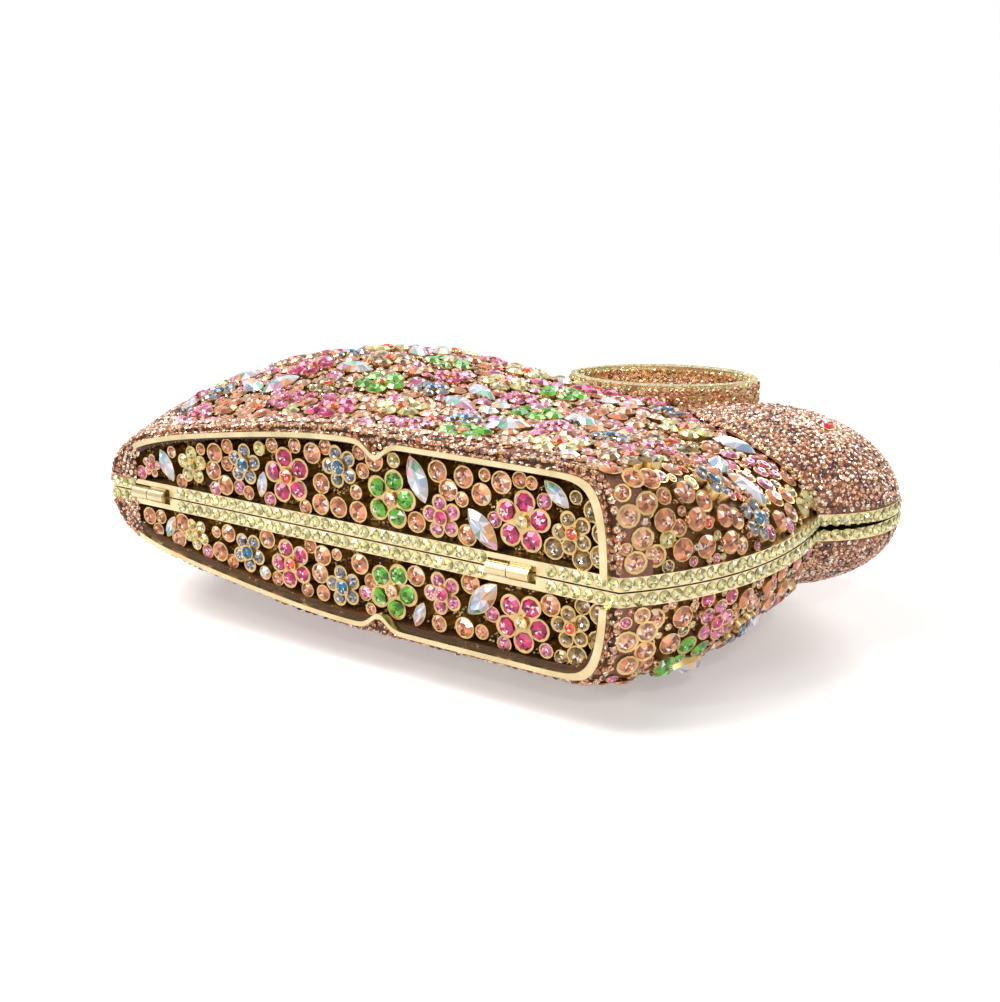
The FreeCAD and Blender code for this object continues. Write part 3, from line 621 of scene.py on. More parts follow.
class Skin:
    """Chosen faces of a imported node, as a surface to set stones on."""

    # Ground of one stone, as a share of the pitch squared
    cell_share = 0.92
    # Reach of the push between neighbours, its step, and the least gap kept, as shares of the pitch
    push_reach = 1.35
    push_step = 0.22
    least_gap = 0.72

    def __init__(self, node: str, keep: Optional[Keep] = None, without: Collection[int] = ()) -> None:
        """Reads the faces of a node that a test accepts.

        Args:
            node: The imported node.
            keep: Test of a face's middle and its outward normal, or None for every face.
            without: Faces that are left out.
        """
        mesh = bpy.data.objects[node].data
        mesh.calc_loop_triangles()
        triangles = []
        for face in mesh.loop_triangles:
            corners = [mesh.vertices[i].co for i in face.vertices]
            kept = keep is None or keep(sum(corners, Vector()) / 3, face.normal)
            if kept and face.polygon_index not in without:
                triangles.append([tuple(c) for c in corners])
        self.corners = np.array(triangles, float)
        flat = [tuple(c) for triangle in triangles for c in triangle]
        faces = [(3 * k, 3 * k + 1, 3 * k + 2) for k in range(len(triangles))]
        self.tree = BVHTree.FromPolygons(flat, faces)
        edges = self.corners[:, 1:] - self.corners[:, :1]
        self.areas = np.linalg.norm(np.cross(edges[:, 0], edges[:, 1]), axis=1) / 2

    @property
    def area(self) -> float:
        """Total area in square metres."""
        return float(self.areas.sum())

    def snap(self, point: Vector) -> tuple[Vector, Vector]:
        """Nearest point of the surface and the normal there."""
        seat, normal, _, _ = self.tree.find_nearest(point)
        return seat, normal

    def scatter(self, count: int, seed: int) -> list[Vector]:
        """Evenly likely points of the surface.

        Args:
            count: Number of points.
            seed: Seed of the choice.

        Returns:
            The points.
        """
        rng = np.random.default_rng(seed)
        pick = rng.choice(len(self.areas), count, p=self.areas / self.areas.sum())
        a, b = rng.uniform(0, 1, (2, count, 1))
        fold = a + b > 1
        a, b = np.where(fold, 1 - a, a), np.where(fold, 1 - b, b)
        corner = self.corners[pick]
        points = corner[:, 0] + a * (corner[:, 1] - corner[:, 0]) + b * (corner[:, 2] - corner[:, 0])
        return [Vector(p) for p in points]

    def spread(self, pitch: float, keep: Callable[[Vector], bool], seed: int,
               rounds: int = 14) -> list[Vector]:
        """Points about a pitch apart all over the surface, as closely set stones are.

        Args:
            pitch: Distance between neighbours, in metres.
            keep: Test of a point's place.
            seed: Seed of the start.
            rounds: Number of times the points push each other apart.

        Returns:
            The points.
        """
        count = int(self.area / (pitch * pitch * self.cell_share))
        points = [p for p in self.scatter(count, seed) if keep(p)]
        reach = pitch * self.push_reach
        for _ in range(rounds):
            tree = KDTree(len(points))
            for index, point in enumerate(points):
                tree.insert(point, index)
            tree.balance()
            moved = []
            for index, point in enumerate(points):
                push = Vector()
                for other, k, gap in tree.find_range(point, reach):
                    if k != index and gap > 0:
                        push += (point - other) / gap * (reach - gap)
                target = self.snap(point + push * self.push_step)[0]
                moved.append(target if keep(target) else point)
            points = moved
        return self._thinned(points, pitch * self.least_gap)

    def seam(self, other: BVHTree, away: float, wide: float, pitch: float, seed: int,
             tries: int = 60000) -> list[Vector]:
        """Points of the surface along the line where it comes near another surface.

        Args:
            other: The other surface.
            away: Least distance from it, in metres.
            wide: Width of the strip that counts as the line, in metres.
            pitch: Distance between neighbours, in metres.
            seed: Seed of the choice.
            tries: Places tried.

        Returns:
            The points.
        """
        points = [p for p in self.scatter(tries, seed) if away < other.find_nearest(p)[3] < away + wide]
        return self._thinned(points, pitch)

    @staticmethod
    def _thinned(points: Sequence[Vector], least: float) -> list[Vector]:
        """The points with those too near an earlier one left out.

        Args:
            points: The points, the more important ones first.
            least: Least distance between two that are kept, in metres.

        Returns:
            The points that are kept.
        """
        room = Room(least)
        kept = []
        for point in points:
            if room.free(point, least / 2):
                room.take(point, least / 2)
                kept.append(point)
        return kept


class Room:
    """Keeps track of the circles that stones already take up."""

    def __init__(self, cell: float) -> None:
        """Starts empty.

        Args:
            cell: Size of a search cell, at least the largest sum of two radii.
        """
        self.cell = cell
        self.cells: dict[tuple[int, int, int], list[tuple[Vector, float]]] = {}

    def _key(self, point: Vector) -> tuple[int, int, int]:
        """The cell of a point."""
        return tuple(int(math.floor(c / self.cell)) for c in point)

    def take(self, point: Vector, radius: float) -> None:
        """Marks a circle as taken."""
        self.cells.setdefault(self._key(point), []).append((point, radius))

    def free(self, point: Vector, radius: float) -> bool:
        """Whether a circle touches none of those taken.

        Args:
            point: Its middle.
            radius: Its radius, in metres.

        Returns:
            True where it is clear of all of them.
        """
        x, y, z = self._key(point)
        for i in (x - 1, x, x + 1):
            for j in (y - 1, y, y + 1):
                for k in (z - 1, z, z + 1):
                    for other, size in self.cells.get((i, j, k), ()):
                        if (other - point).length < size + radius:
                            return False
        return True


class Form(Enum):
    """The outlines that stand up in relief."""

    FLOWER = "flower"
    STUD = "stud"
    LEAF = "leaf"


@dataclass(frozen=True)
class Top:
    """Flat top of one flower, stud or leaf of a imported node, in metres."""

    form: Form
    middle: Vector
    out: Vector
    ahead: Vector
    reach: float


class Relief:
    """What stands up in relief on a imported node: its flat tops, and the faces it is made of."""

    # Share of the circle round a top that the top fills
    least_fill = 0.3
    leaf_fill = 0.52
    stud_fill = 0.88

    def __init__(self, node: str, limit: float = 6.5 * MM) -> None:
        """Finds the small separate faces of a node.

        Args:
            node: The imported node.
            limit: Largest radius of a relief.
        """
        mesh = bpy.data.objects[node].data
        points = np.array([v.co for v in mesh.vertices], float)
        groups = vertex_groups(mesh)
        owner = groups[[f.vertices[0] for f in mesh.polygons]]
        self.faces: set[int] = set()
        self.tops: list[Top] = []
        for group in np.unique(owner):
            cloud = points[groups == group]
            if np.ptp(cloud, axis=0).max() > 2 * limit:
                continue
            faces = [mesh.polygons[k] for k in np.nonzero(owner == group)[0]]
            self.faces.update(f.index for f in faces)
            top = self._top(cloud, faces)
            if top is not None:
                self.tops.append(top)

    def _top(self, cloud: np.ndarray, faces: Sequence[bpy.types.MeshPolygon],
             least: float = 1.1 * MM) -> Optional[Top]:
        """Reads a flat face's outline.

        Args:
            cloud: Its corners.
            faces: Its polygons.
            least: Smallest radius that counts.

        Returns:
            The top, or None where the face is curved or tiny.
        """
        area = sum(f.area for f in faces)
        lean = sum((f.normal * f.area for f in faces), Vector())
        middle = sum((f.center * f.area for f in faces), Vector()) / area
        reaches = np.linalg.norm(cloud - np.array(middle), axis=1)
        reach = float(reaches.max())
        if lean.length < FLAT * area or reach < least:
            return None
        share = area / (math.pi * reach * reach)
        if share < self.least_fill:
            return None
        form = Form.LEAF if share < self.leaf_fill else Form.STUD if share > self.stud_fill else Form.FLOWER
        pick = reaches.argmin() if form is Form.FLOWER else reaches.argmax()
        ahead = (Vector(cloud[pick]) - middle).normalized()
        if form is Form.FLOWER:
            ahead.rotate(Quaternion(lean.normalized(), math.pi / PETALS))
        return Top(form, middle, lean.normalized(), ahead, reach)


# Shader helpers and finishes


def wire(tree: bpy.types.NodeTree, node: bpy.types.Node, sockets: dict[object, object]) -> None:
    """Gives each input of a node a value, or a link from another node's output.

    Args:
        tree: The nodes of a material, a world or a group.
        node: The node.
        sockets: The value or the output for each input, by its name or number.
    """
    for label, value in sockets.items():
        if isinstance(value, bpy.types.NodeSocket):
            tree.links.new(value, node.inputs[label])
        else:
            node.inputs[label].default_value = value


def add_node(tree: bpy.types.NodeTree, kind: str, sockets: dict[object, object],
             **options: object) -> bpy.types.Node:
    """Adds a shader node.

    Args:
        tree: The nodes of a material, a world or a group.
        kind: The node's type, without the start that all of them share.
        sockets: The value or the output for each input, by its name or number.
        options: The node's other settings.

    Returns:
        The node.
    """
    node = tree.nodes.new(f"ShaderNode{kind}")
    for label, value in options.items():
        setattr(node, label, value)
    wire(tree, node, sockets)
    return node


def shared_group(name: str, inputs: dict[str, object], outputs: dict[str, str]) -> bpy.types.ShaderNodeTree:
    """A new shader node group with named sockets.

    Args:
        name: The group's name.
        inputs: Default of each input; a number, or a colour of four.
        outputs: Socket type of each output.

    Returns:
        The empty group, with its input and output nodes.
    """
    group = bpy.data.node_groups.new(name, "ShaderNodeTree")
    for label, default in inputs.items():
        kind = "NodeSocketFloat" if isinstance(default, float) else "NodeSocketColor"
        group.interface.new_socket(label, in_out="INPUT", socket_type=kind).default_value = default
    for label, kind in outputs.items():
        group.interface.new_socket(label, in_out="OUTPUT", socket_type=kind)
    group.nodes.new("NodeGroupInput")
    group.nodes.new("NodeGroupOutput")
    return group


@dataclass
class Effects:
    """Surface effects that several finishes share."""

    detail: float = 4.0

    def __post_init__(self) -> None:
        """Builds each effect once."""
        self.drift = self._drift()
        self.grains = self._grains()

    def _drift(self) -> bpy.types.ShaderNodeTree:
        """Slow change of a colour and a roughness over the surface, as on handled plating.

        Returns:
            The node group.
        """
        tree = shared_group("tone_drift", {"Colour": (1.0, 1.0, 1.0, 1.0), "Deep": (0.5, 0.5, 0.5, 1.0),
                                           "Scale": 300.0, "Smooth": 0.15, "Rough": 0.35},
                            {"Colour": "NodeSocketColor", "Roughness": "NodeSocketFloat",
                             "Height": "NodeSocketFloat"})
        given = tree.nodes["Group Input"].outputs
        place = add_node(tree, "TexCoord", {})
        noise = add_node(tree, "TexNoise", {"Vector": place.outputs["Object"], "Scale": given["Scale"],
                                            "Detail": self.detail})
        level = noise.outputs["Fac"]
        blend = add_node(tree, "Mix", {}, data_type="RGBA")
        wire(tree, blend, {"Factor": level, "A": given["Deep"], "B": given["Colour"]})
        span = add_node(tree, "MapRange", {"Value": level, "To Min": given["Rough"],
                                           "To Max": given["Smooth"]})
        wire(tree, tree.nodes["Group Output"], {
            "Colour": blend.outputs["Result"], "Roughness": span.outputs["Result"], "Height": level})
        return tree

    def _grains(self) -> bpy.types.ShaderNodeTree:
        """Scattered round grains, as a mask and a height.

        Returns:
            The node group.
        """
        tree = shared_group("scattered_grains", {"Scale": 900.0, "Spread": 0.32, "Share": 0.5},
                            {"Mask": "NodeSocketFloat", "Height": "NodeSocketFloat"})
        given = tree.nodes["Group Input"].outputs
        place = add_node(tree, "TexCoord", {})
        cells = add_node(tree, "TexVoronoi", {"Vector": place.outputs["Object"], "Scale": given["Scale"]})
        swell = add_node(tree, "MapRange", {"Value": cells.outputs["Distance"], "From Min": given["Spread"],
                                            "From Max": 0.0}, interpolation_type="SMOOTHSTEP")
        parts = add_node(tree, "SeparateColor", {"Color": cells.outputs["Color"]})
        chosen = add_node(tree, "Math", {0: parts.outputs["Red"], 1: given["Share"]}, operation="LESS_THAN")
        mask = add_node(tree, "Math", {0: swell.outputs["Result"], 1: chosen.outputs["Value"]},
                        operation="MULTIPLY")
        wire(tree, tree.nodes["Group Output"], {
            "Mask": mask.outputs["Value"], "Height": mask.outputs["Value"]})
        return tree


def new_material(name: str) -> tuple[bpy.types.Material, bpy.types.NodeTree, bpy.types.Node]:
    """A new material with its shader.

    Args:
        name: The material's name.

    Returns:
        The material, its nodes and its Principled shader.
    """
    material = bpy.data.materials.new(name)
    material.use_nodes = True
    return material, material.node_tree, material.node_tree.nodes["Principled BSDF"]


def bumped(tree: bpy.types.NodeTree, height: bpy.types.NodeSocket, strength: float,
           distance: float) -> bpy.types.NodeSocket:
    """Normal of a surface with a bump.

    Args:
        tree: The material's nodes.
        height: The height's socket.
        strength: Strength of the bump.
        distance: Depth of the bump in metres.

    Returns:
        The normal's socket.
    """
    node = add_node(tree, "Bump", {"Strength": strength, "Distance": distance, "Height": height})
    return node.outputs["Normal"]


@dataclass(frozen=True)
class PlatedFinish:
    """Metal plating with a slow drift of tone."""

    name: str
    colour: Colour
    deep: Colour
    smooth: float
    rough: float
    scale: float = 260.0
    dent: float = 0.12
    dent_depth: float = 0.0002

    def make(self, effects: Effects) -> bpy.types.Material:
        """Builds the material.

        Args:
            effects: The shared effects.

        Returns:
            The material.
        """
        material, tree, shader = new_material(self.name)
        drift = add_node(tree, "Group", {
            "Colour": (*self.colour, 1.0), "Deep": (*self.deep, 1.0), "Scale": self.scale,
            "Smooth": self.smooth, "Rough": self.rough}, node_tree=effects.drift).outputs
        wire(tree, shader, {
            "Base Color": drift["Colour"], "Roughness": drift["Roughness"], "Metallic": 1.0,
            "Normal": bumped(tree, drift["Height"], self.dent, self.dent_depth)})
        return material


@dataclass(frozen=True)
class StoneFinish:
    """Foiled cut stone; each facet's colour is in the piece's tone attribute, with the painted reflections,
    painted shade and painted highlights of the foiled stones.
    """

    name: str
    metal: float
    smooth: float
    coat: float
    wear: float = 2.2
    scale: float = 900.0
    index: float = 1.6
    coat_roughness: float = 0.03

    def make(self, effects: Effects) -> bpy.types.Material:
        """Builds the material.

        Args:
            effects: The shared effects.

        Returns:
            The material.
        """
        material, tree, shader = new_material(self.name)
        tone = add_node(tree, "Attribute", {}, attribute_name=TONE)
        drift = add_node(tree, "Group", {
            "Scale": self.scale, "Smooth": self.smooth, "Rough": self.smooth * self.wear},
            node_tree=effects.drift).outputs
        wire(tree, shader, {
            "Base Color": tone.outputs["Color"], "Roughness": drift["Roughness"], "Metallic": self.metal,
            "IOR": self.index, "Coat Weight": self.coat, "Coat Roughness": self.coat_roughness})
        return material


@dataclass(frozen=True)
class GroundFinish:
    """Dark ground with metal grains."""

    name: str
    ground: Colour
    deep: Colour
    grain: Colour
    share: float
    scale: float
    drift_scale: float = 420.0
    smooth: float = 0.45
    rough: float = 0.7
    relief: float = 0.8
    relief_depth: float = 0.0004

    def make(self, effects: Effects) -> bpy.types.Material:
        """Builds the material.

        Args:
            effects: The shared effects.

        Returns:
            The material.
        """
        material, tree, shader = new_material(self.name)
        drift = add_node(tree, "Group", {
            "Colour": (*self.ground, 1.0), "Deep": (*self.deep, 1.0), "Scale": self.drift_scale,
            "Smooth": self.smooth, "Rough": self.rough}, node_tree=effects.drift).outputs
        grains = add_node(tree, "Group", {"Scale": self.scale, "Share": self.share},
                          node_tree=effects.grains).outputs
        blend = add_node(tree, "Mix", {}, data_type="RGBA")
        wire(tree, blend, {"Factor": grains["Mask"], "A": drift["Colour"], "B": (*self.grain, 1.0)})
        wire(tree, shader, {
            "Base Color": blend.outputs["Result"], "Roughness": drift["Roughness"],
            "Metallic": grains["Mask"],
            "Normal": bumped(tree, grains["Height"], self.relief, self.relief_depth)})
        return material


@dataclass(frozen=True)
class LeatherFinish:
    """Fine-grained lining leather with a metallic sheen."""

    name: str
    colour: Colour
    deep: Colour
    drift_scale: float = 160.0
    smooth: float = 0.38
    rough: float = 0.6
    grain_scale: float = 1500.0
    grain_spread: float = 0.7
    sheen: float = 0.35
    relief: float = 0.5
    relief_depth: float = 0.0002

    def make(self, effects: Effects) -> bpy.types.Material:
        """Builds the material.

        Args:
            effects: The shared effects.

        Returns:
            The material.
        """
        material, tree, shader = new_material(self.name)
        drift = add_node(tree, "Group", {
            "Colour": (*self.colour, 1.0), "Deep": (*self.deep, 1.0), "Scale": self.drift_scale,
            "Smooth": self.smooth, "Rough": self.rough}, node_tree=effects.drift).outputs
        grains = add_node(tree, "Group", {
            "Scale": self.grain_scale, "Spread": self.grain_spread, "Share": 1.0},
            node_tree=effects.grains).outputs
        wire(tree, shader, {
            "Base Color": drift["Colour"], "Roughness": drift["Roughness"], "Metallic": self.sheen,
            "Normal": bumped(tree, grains["Height"], self.relief, self.relief_depth)})
        return material


class Finishes:
    """Every material of the case."""

    def __init__(self) -> None:
        """Builds the materials."""
        effects = Effects()
        self.gold = PlatedFinish("polished_gold", linear(234, 220, 182), linear(186, 164, 116),
                                 smooth=0.2, rough=0.36).make(effects)
        self.cup_gold = PlatedFinish("cup_gold", linear(226, 202, 144), linear(158, 120, 66),
                                     smooth=0.2, rough=0.4, scale=500.0).make(effects)
        self.steel = PlatedFinish("magnet_nickel", linear(216, 216, 214), linear(176, 176, 176),
                                  smooth=0.2, rough=0.4).make(effects)
        self.stone = StoneFinish("foiled_stone", metal=0.30, smooth=0.06, coat=0.25).make(effects)
        self.aurora = StoneFinish("aurora_stone", metal=0.15, smooth=0.04, coat=0.5).make(effects)
        self.ground = GroundFinish("grained_ground", linear(130, 84, 38), linear(62, 32, 12),
                                   linear(222, 176, 96), share=0.6, scale=900.0).make(effects)
        self.pave_ground = GroundFinish("pave_ground", linear(140, 92, 66), linear(88, 52, 36),
                                        linear(226, 190, 150), share=0.5, scale=1400.0).make(effects)
        # Dark brown ground of the base recess, with darker grains, painted darker still than the flank's
        # ground: painted shade of the deep recess
        self.recess = GroundFinish("recess_ground", linear(80, 42, 18), linear(34, 15, 6),
                                   linear(214, 156, 76), share=0.55, scale=900.0).make(effects)
        self.leather = LeatherFinish("lining_leather", linear(214, 182, 120),
                                     linear(186, 148, 88)).make(effects)


def dress(piece: bpy.types.Object, material: bpy.types.Material) -> None:
    """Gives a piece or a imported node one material."""
    piece.data.materials.clear()
    piece.data.materials.append(material)


@dataclass
class StoneBox:
    """Collects the stones, cups and beads of one region until they are made into pieces."""

    name: str
    side: Side
    cuts: Cuts
    rounds: list[Setting] = field(default_factory=list)
    smalls: list[Setting] = field(default_factory=list)
    leaves: list[Setting] = field(default_factory=list)
    auroras: list[Setting] = field(default_factory=list)
    almonds: list[Setting] = field(default_factory=list)
    cups: list[Setting] = field(default_factory=list)
    leaf_cups: list[Setting] = field(default_factory=list)
    beads: list[Setting] = field(default_factory=list)
    cup_spread: float = 1.13
    cup_rise: float = 0.08
    pave_lean: float = 0.28
    pave_range: Range = (0.82, 1.12)
    pave_rise: float = 0.1

    def set_stone(self, girdle: Vector, out: Vector, radius: float, tint: Tint, spin: float) -> None:
        """Sets a round stone with its girdle at a point; the metal under it is its cup."""
        box = self.auroras if tint is Tint.AURORA else self.rounds
        box.append(Setting(girdle, out, even(radius), spin, tint=tint))

    def set_cupped(self, girdle: Vector, out: Vector, radius: float, tint: Tint, spin: float,
                   foot: float) -> None:
        """Sets a round stone in a cup of its own.

        Args:
            girdle: Middle of the stone's girdle.
            out: Direction that the stone faces.
            radius: Radius of the girdle, in metres.
            tint: The stone's colour.
            spin: Turn about its axis, in radians.
            foot: Height of the cup, in metres.
        """
        self.set_stone(girdle, out, radius, tint, spin)
        wide = radius * self.cup_spread
        rim = girdle + out * radius * self.cup_rise
        self.cups.append(Setting(rim, out, Vector((wide, wide, foot)), spin))

    def set_leaf(self, girdle: Vector, out: Vector, half: float, ahead: Vector) -> None:
        """Sets a pointed leaf stone; the metal under it is its cup."""
        self.leaves.append(Setting(girdle, out, even(half), 0.0, ahead, Tint.AURORA))

    def set_pave(self, seat: Vector, out: Vector, radius: float, tints: Sequence[Tint],
                 rng: random.Random) -> None:
        """Sets one stone of a close-set surface, a little askew.

        Args:
            seat: Its place on the surface.
            out: The surface's normal.
            radius: Its radius, in metres.
            tints: Colours to choose from.
            rng: Source of the choices.
        """
        lean = Vector((rng.uniform(-1, 1), rng.uniform(-1, 1), rng.uniform(-1, 1))) * self.pave_lean
        size = radius * rng.uniform(*self.pave_range)
        tint = rng.choice(tints)
        self.smalls.append(Setting(seat + out * size * self.pave_rise, (out + lean).normalized(), even(size),
                                   rng.uniform(0, math.tau), tint=tint))

    def set_bead(self, seat: Vector, out: Vector, radius: float) -> None:
        """Sets a tiny metal ball on a surface."""
        self.beads.append(Setting(seat, out, even(radius)))

    def make(self, finishes: Finishes, seed: int, slot: str,
             replaced: Sequence[str] = ()) -> list[bpy.types.Object]:
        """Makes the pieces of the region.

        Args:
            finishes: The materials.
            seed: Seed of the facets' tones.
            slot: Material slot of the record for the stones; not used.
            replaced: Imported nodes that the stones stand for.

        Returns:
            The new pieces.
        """
        tones, cuts = FacetTones(seed), self.cuts
        made = []
        # The foiled stones' facets get painted reflections, painted shade and painted highlights; the clear
        # ones get their coat's colours
        plans = (("stones", cuts.round, self.rounds, tones.paint, finishes.stone),
                 ("pave", cuts.small, self.smalls, tones.paint, finishes.stone),
                 ("leaf_stones", cuts.leaf, self.leaves, tones.aurora, finishes.aurora),
                 ("clear_stones", cuts.round, self.auroras, tones.aurora, finishes.aurora),
                 ("almond_stone", cuts.leaf, self.almonds, tones.paint, finishes.stone),
                 ("cups", cuts.cup, self.cups, None, finishes.cup_gold),
                 ("leaf_cups", cuts.leaf_cup, self.leaf_cups, None, finishes.cup_gold),
                 ("beads", cuts.bead, self.beads, None, finishes.cup_gold))
        for word, master, settings, paint, material in plans:
            if not settings:
                continue
            colours = paint(master, settings) if paint else None
            piece = merged_copies(f"{self.side.word}_{self.name}_{word}", master, settings, colours,
                                  smooth=paint is None)
            dress(piece, material)
            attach(piece, self.side.body)
            made.append(piece)
            log.info("%s: %d copies", piece.name, len(settings))
        if replaced:
            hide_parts(*replaced)
        return made


# The chosen flowers, in millimetres along, up and across; both halves share those of the base


BASE_SPOTS = spots_of({
    Bloom.PINK: ((-4.0, 0, 6.4), (70.8, 0, 7.0)),
    Bloom.JONQUIL_PLAIN: ((8.0, 0, 8.2),),
    Bloom.GREY: ((22.6, 0, 12.2), (47.2, 0, 14.2)),
    Bloom.ROSE: ((34.0, 0, 9.6),),
    Bloom.GREEN: ((59.2, 0, 8.8),),
    Bloom.ROSE_KNOB: ((88.0, 0, 9.4),),
    Bloom.SMOKY: ((99.2, 0, 8.6),),
    Bloom.PEACH: ((14.4, 0, 13.0), (15.2, 0, 8.6), (19.2, 0, 7.4), (17.4, 0, 4.6), (42.0, 0, 14.8),
                  (44.0, 0, 9.2), (42.2, 0, 4.9), (46.6, 0, 5.2), (51.0, 0, 8.8), (51.8, 0, 4.6),
                  (75.6, 0, 15.6), (78.8, 0, 12.4), (75.2, 0, 11.2)),
    Bloom.SMALL_PEACH: ((1.6, 0, 4.4), (69.6, 0, 16.2), (83.4, 0, 16.4), (100.2, 0, 15.0)),
})
FLANK_SPOTS = spots_of({
    Bloom.GREY: ((61.5, 20, 20.5), (45.5, 32, 23), (15, 43, 26), (-5.5, 19, 19)),
    Bloom.JONQUIL: ((94, 50, 17), (47.5, 18, 21), (17, 54, 25), (52, 48, 22)),
    Bloom.GREEN: ((69.5, 34, 20), (38.5, 31, 23.5), (37, 49, 24.5), (4, 22, 21), (97, 67, 14)),
    Bloom.PINK: ((98.5, 27, 18), (21, 16, 20), (56.5, 14, 20.5), (60.5, 46, 21)),
    Bloom.ROSE: ((13, 32, 24.7), (35, 13, 20), (43.5, 41, 23.5), (66, 65, 19)),
    Bloom.SMOKY: ((29, 23, 22.5), (28, 43, 25.7), (57, 60, 20.5)),
    Bloom.PEACH: ((82, 45, 19), (87, 43, 18.5), (88.5, 33, 19), (83, 21, 20), (72.5, 49, 20),
                  (12.5, 13.5, 19), (8.5, 10, 17.5), (103, 56, 15), (106.5, 61, 13)),
    Bloom.AURORA_ROUND: ((79, 56, 19),),
})
FRONT_CHEST_SPOTS = spots_of({
    Bloom.PEACH: ((106.5, 1.6, 6.2), (109, 4.8, 6.4), (112, 8.8, 6.2), (115, 13.8, 6.0), (118, 19.4, 5.8),
                  (108.5, 6.2, 11.4), (113, 12.4, 10.6), (116, 19.4, 10.3), (121, 36.4, 5.9),
                  (119.3, 42, 8.0)),
    Bloom.SMALL_PEACH: ((109.5, 12.2, 14.5),),
    Bloom.GREY: ((110.8, 22.4, 15), (119.3, 28.4, 7.6)),
    Bloom.PINK: ((112.3, 48.5, 12.2),),
    Bloom.ROSE: ((117.5, 52, 8.4),),
})
REAR_CHEST_SPOTS = spots_of({
    Bloom.PEACH: ((109.3, 4.4, 5.2), (112.2, 8.4, 5.4), (110.3, 7.2, 10.0), (109.5, 9.6, 14.0),
                  (119.4, 23, 5.8), (120.5, 33, 6.8), (120.3, 39.4, 8.2)),
    Bloom.SMALL_PEACH: ((112.6, 10.6, 9.2),),
    Bloom.PINK: ((116.3, 16.4, 7.8),),
    Bloom.GREEN: ((112.5, 17.5, 15.4),),
    Bloom.GREY: ((117.0, 27, 12.6),),
    Bloom.ROSE: ((118, 48, 9),),
})
FRONT_PATCHES = (Spot(Bloom.PINK, 100.5, 23.5, 19.3),)
REAR_PATCHES = (Spot(Bloom.GREEN, 112.3, 13.5, 14.2),)
BASE_PATCHES = (Spot(Bloom.SMOKY, 101.5, 0, 8.6),)
LARGE_BLOOMS = (Bloom.GREEN, Bloom.GREEN, Bloom.ROSE, Bloom.SMOKY, Bloom.JONQUIL)
SMALL_BLOOMS = (Bloom.PINK, Bloom.GREY)
SINGLES = (Bloom.PEACH, Bloom.PEACH, Bloom.PEACH, Bloom.PINK_ROUND, Bloom.JONQUIL_ROUND, Bloom.AURORA_ROUND)

# Colours of the stones that fill the gaps, by radius in millimetres, large ones first
FLANK_FILL = {
    2.0: (Tint.PEACH, Tint.PEACH, Tint.PINK, Tint.PALE_PEACH),
    1.55: (Tint.PEACH, Tint.PINK, Tint.JONQUIL, Tint.ROSE),
    1.2: (Tint.PEACH, Tint.PALE_PEACH, Tint.PINK, Tint.ORANGE, Tint.SMOKY),
    0.9: (Tint.PALE_PEACH, Tint.PEACH, Tint.JONQUIL, Tint.PINK),
    0.65: (Tint.PALE_PEACH, Tint.GOLD, Tint.GOLD),
}
CHEST_FILL = {
    2.0: (Tint.PEACH, Tint.PEACH, Tint.PALE_PEACH),
    1.5: (Tint.PEACH, Tint.PALE_PEACH),
    1.1: (Tint.PEACH, Tint.PALE_PEACH, Tint.PINK),
}
BASE_FILL = {
    2.0: (Tint.PEACH, Tint.PEACH, Tint.PALE_PEACH),
    1.5: (Tint.PEACH, Tint.PEACH, Tint.PINK),
}


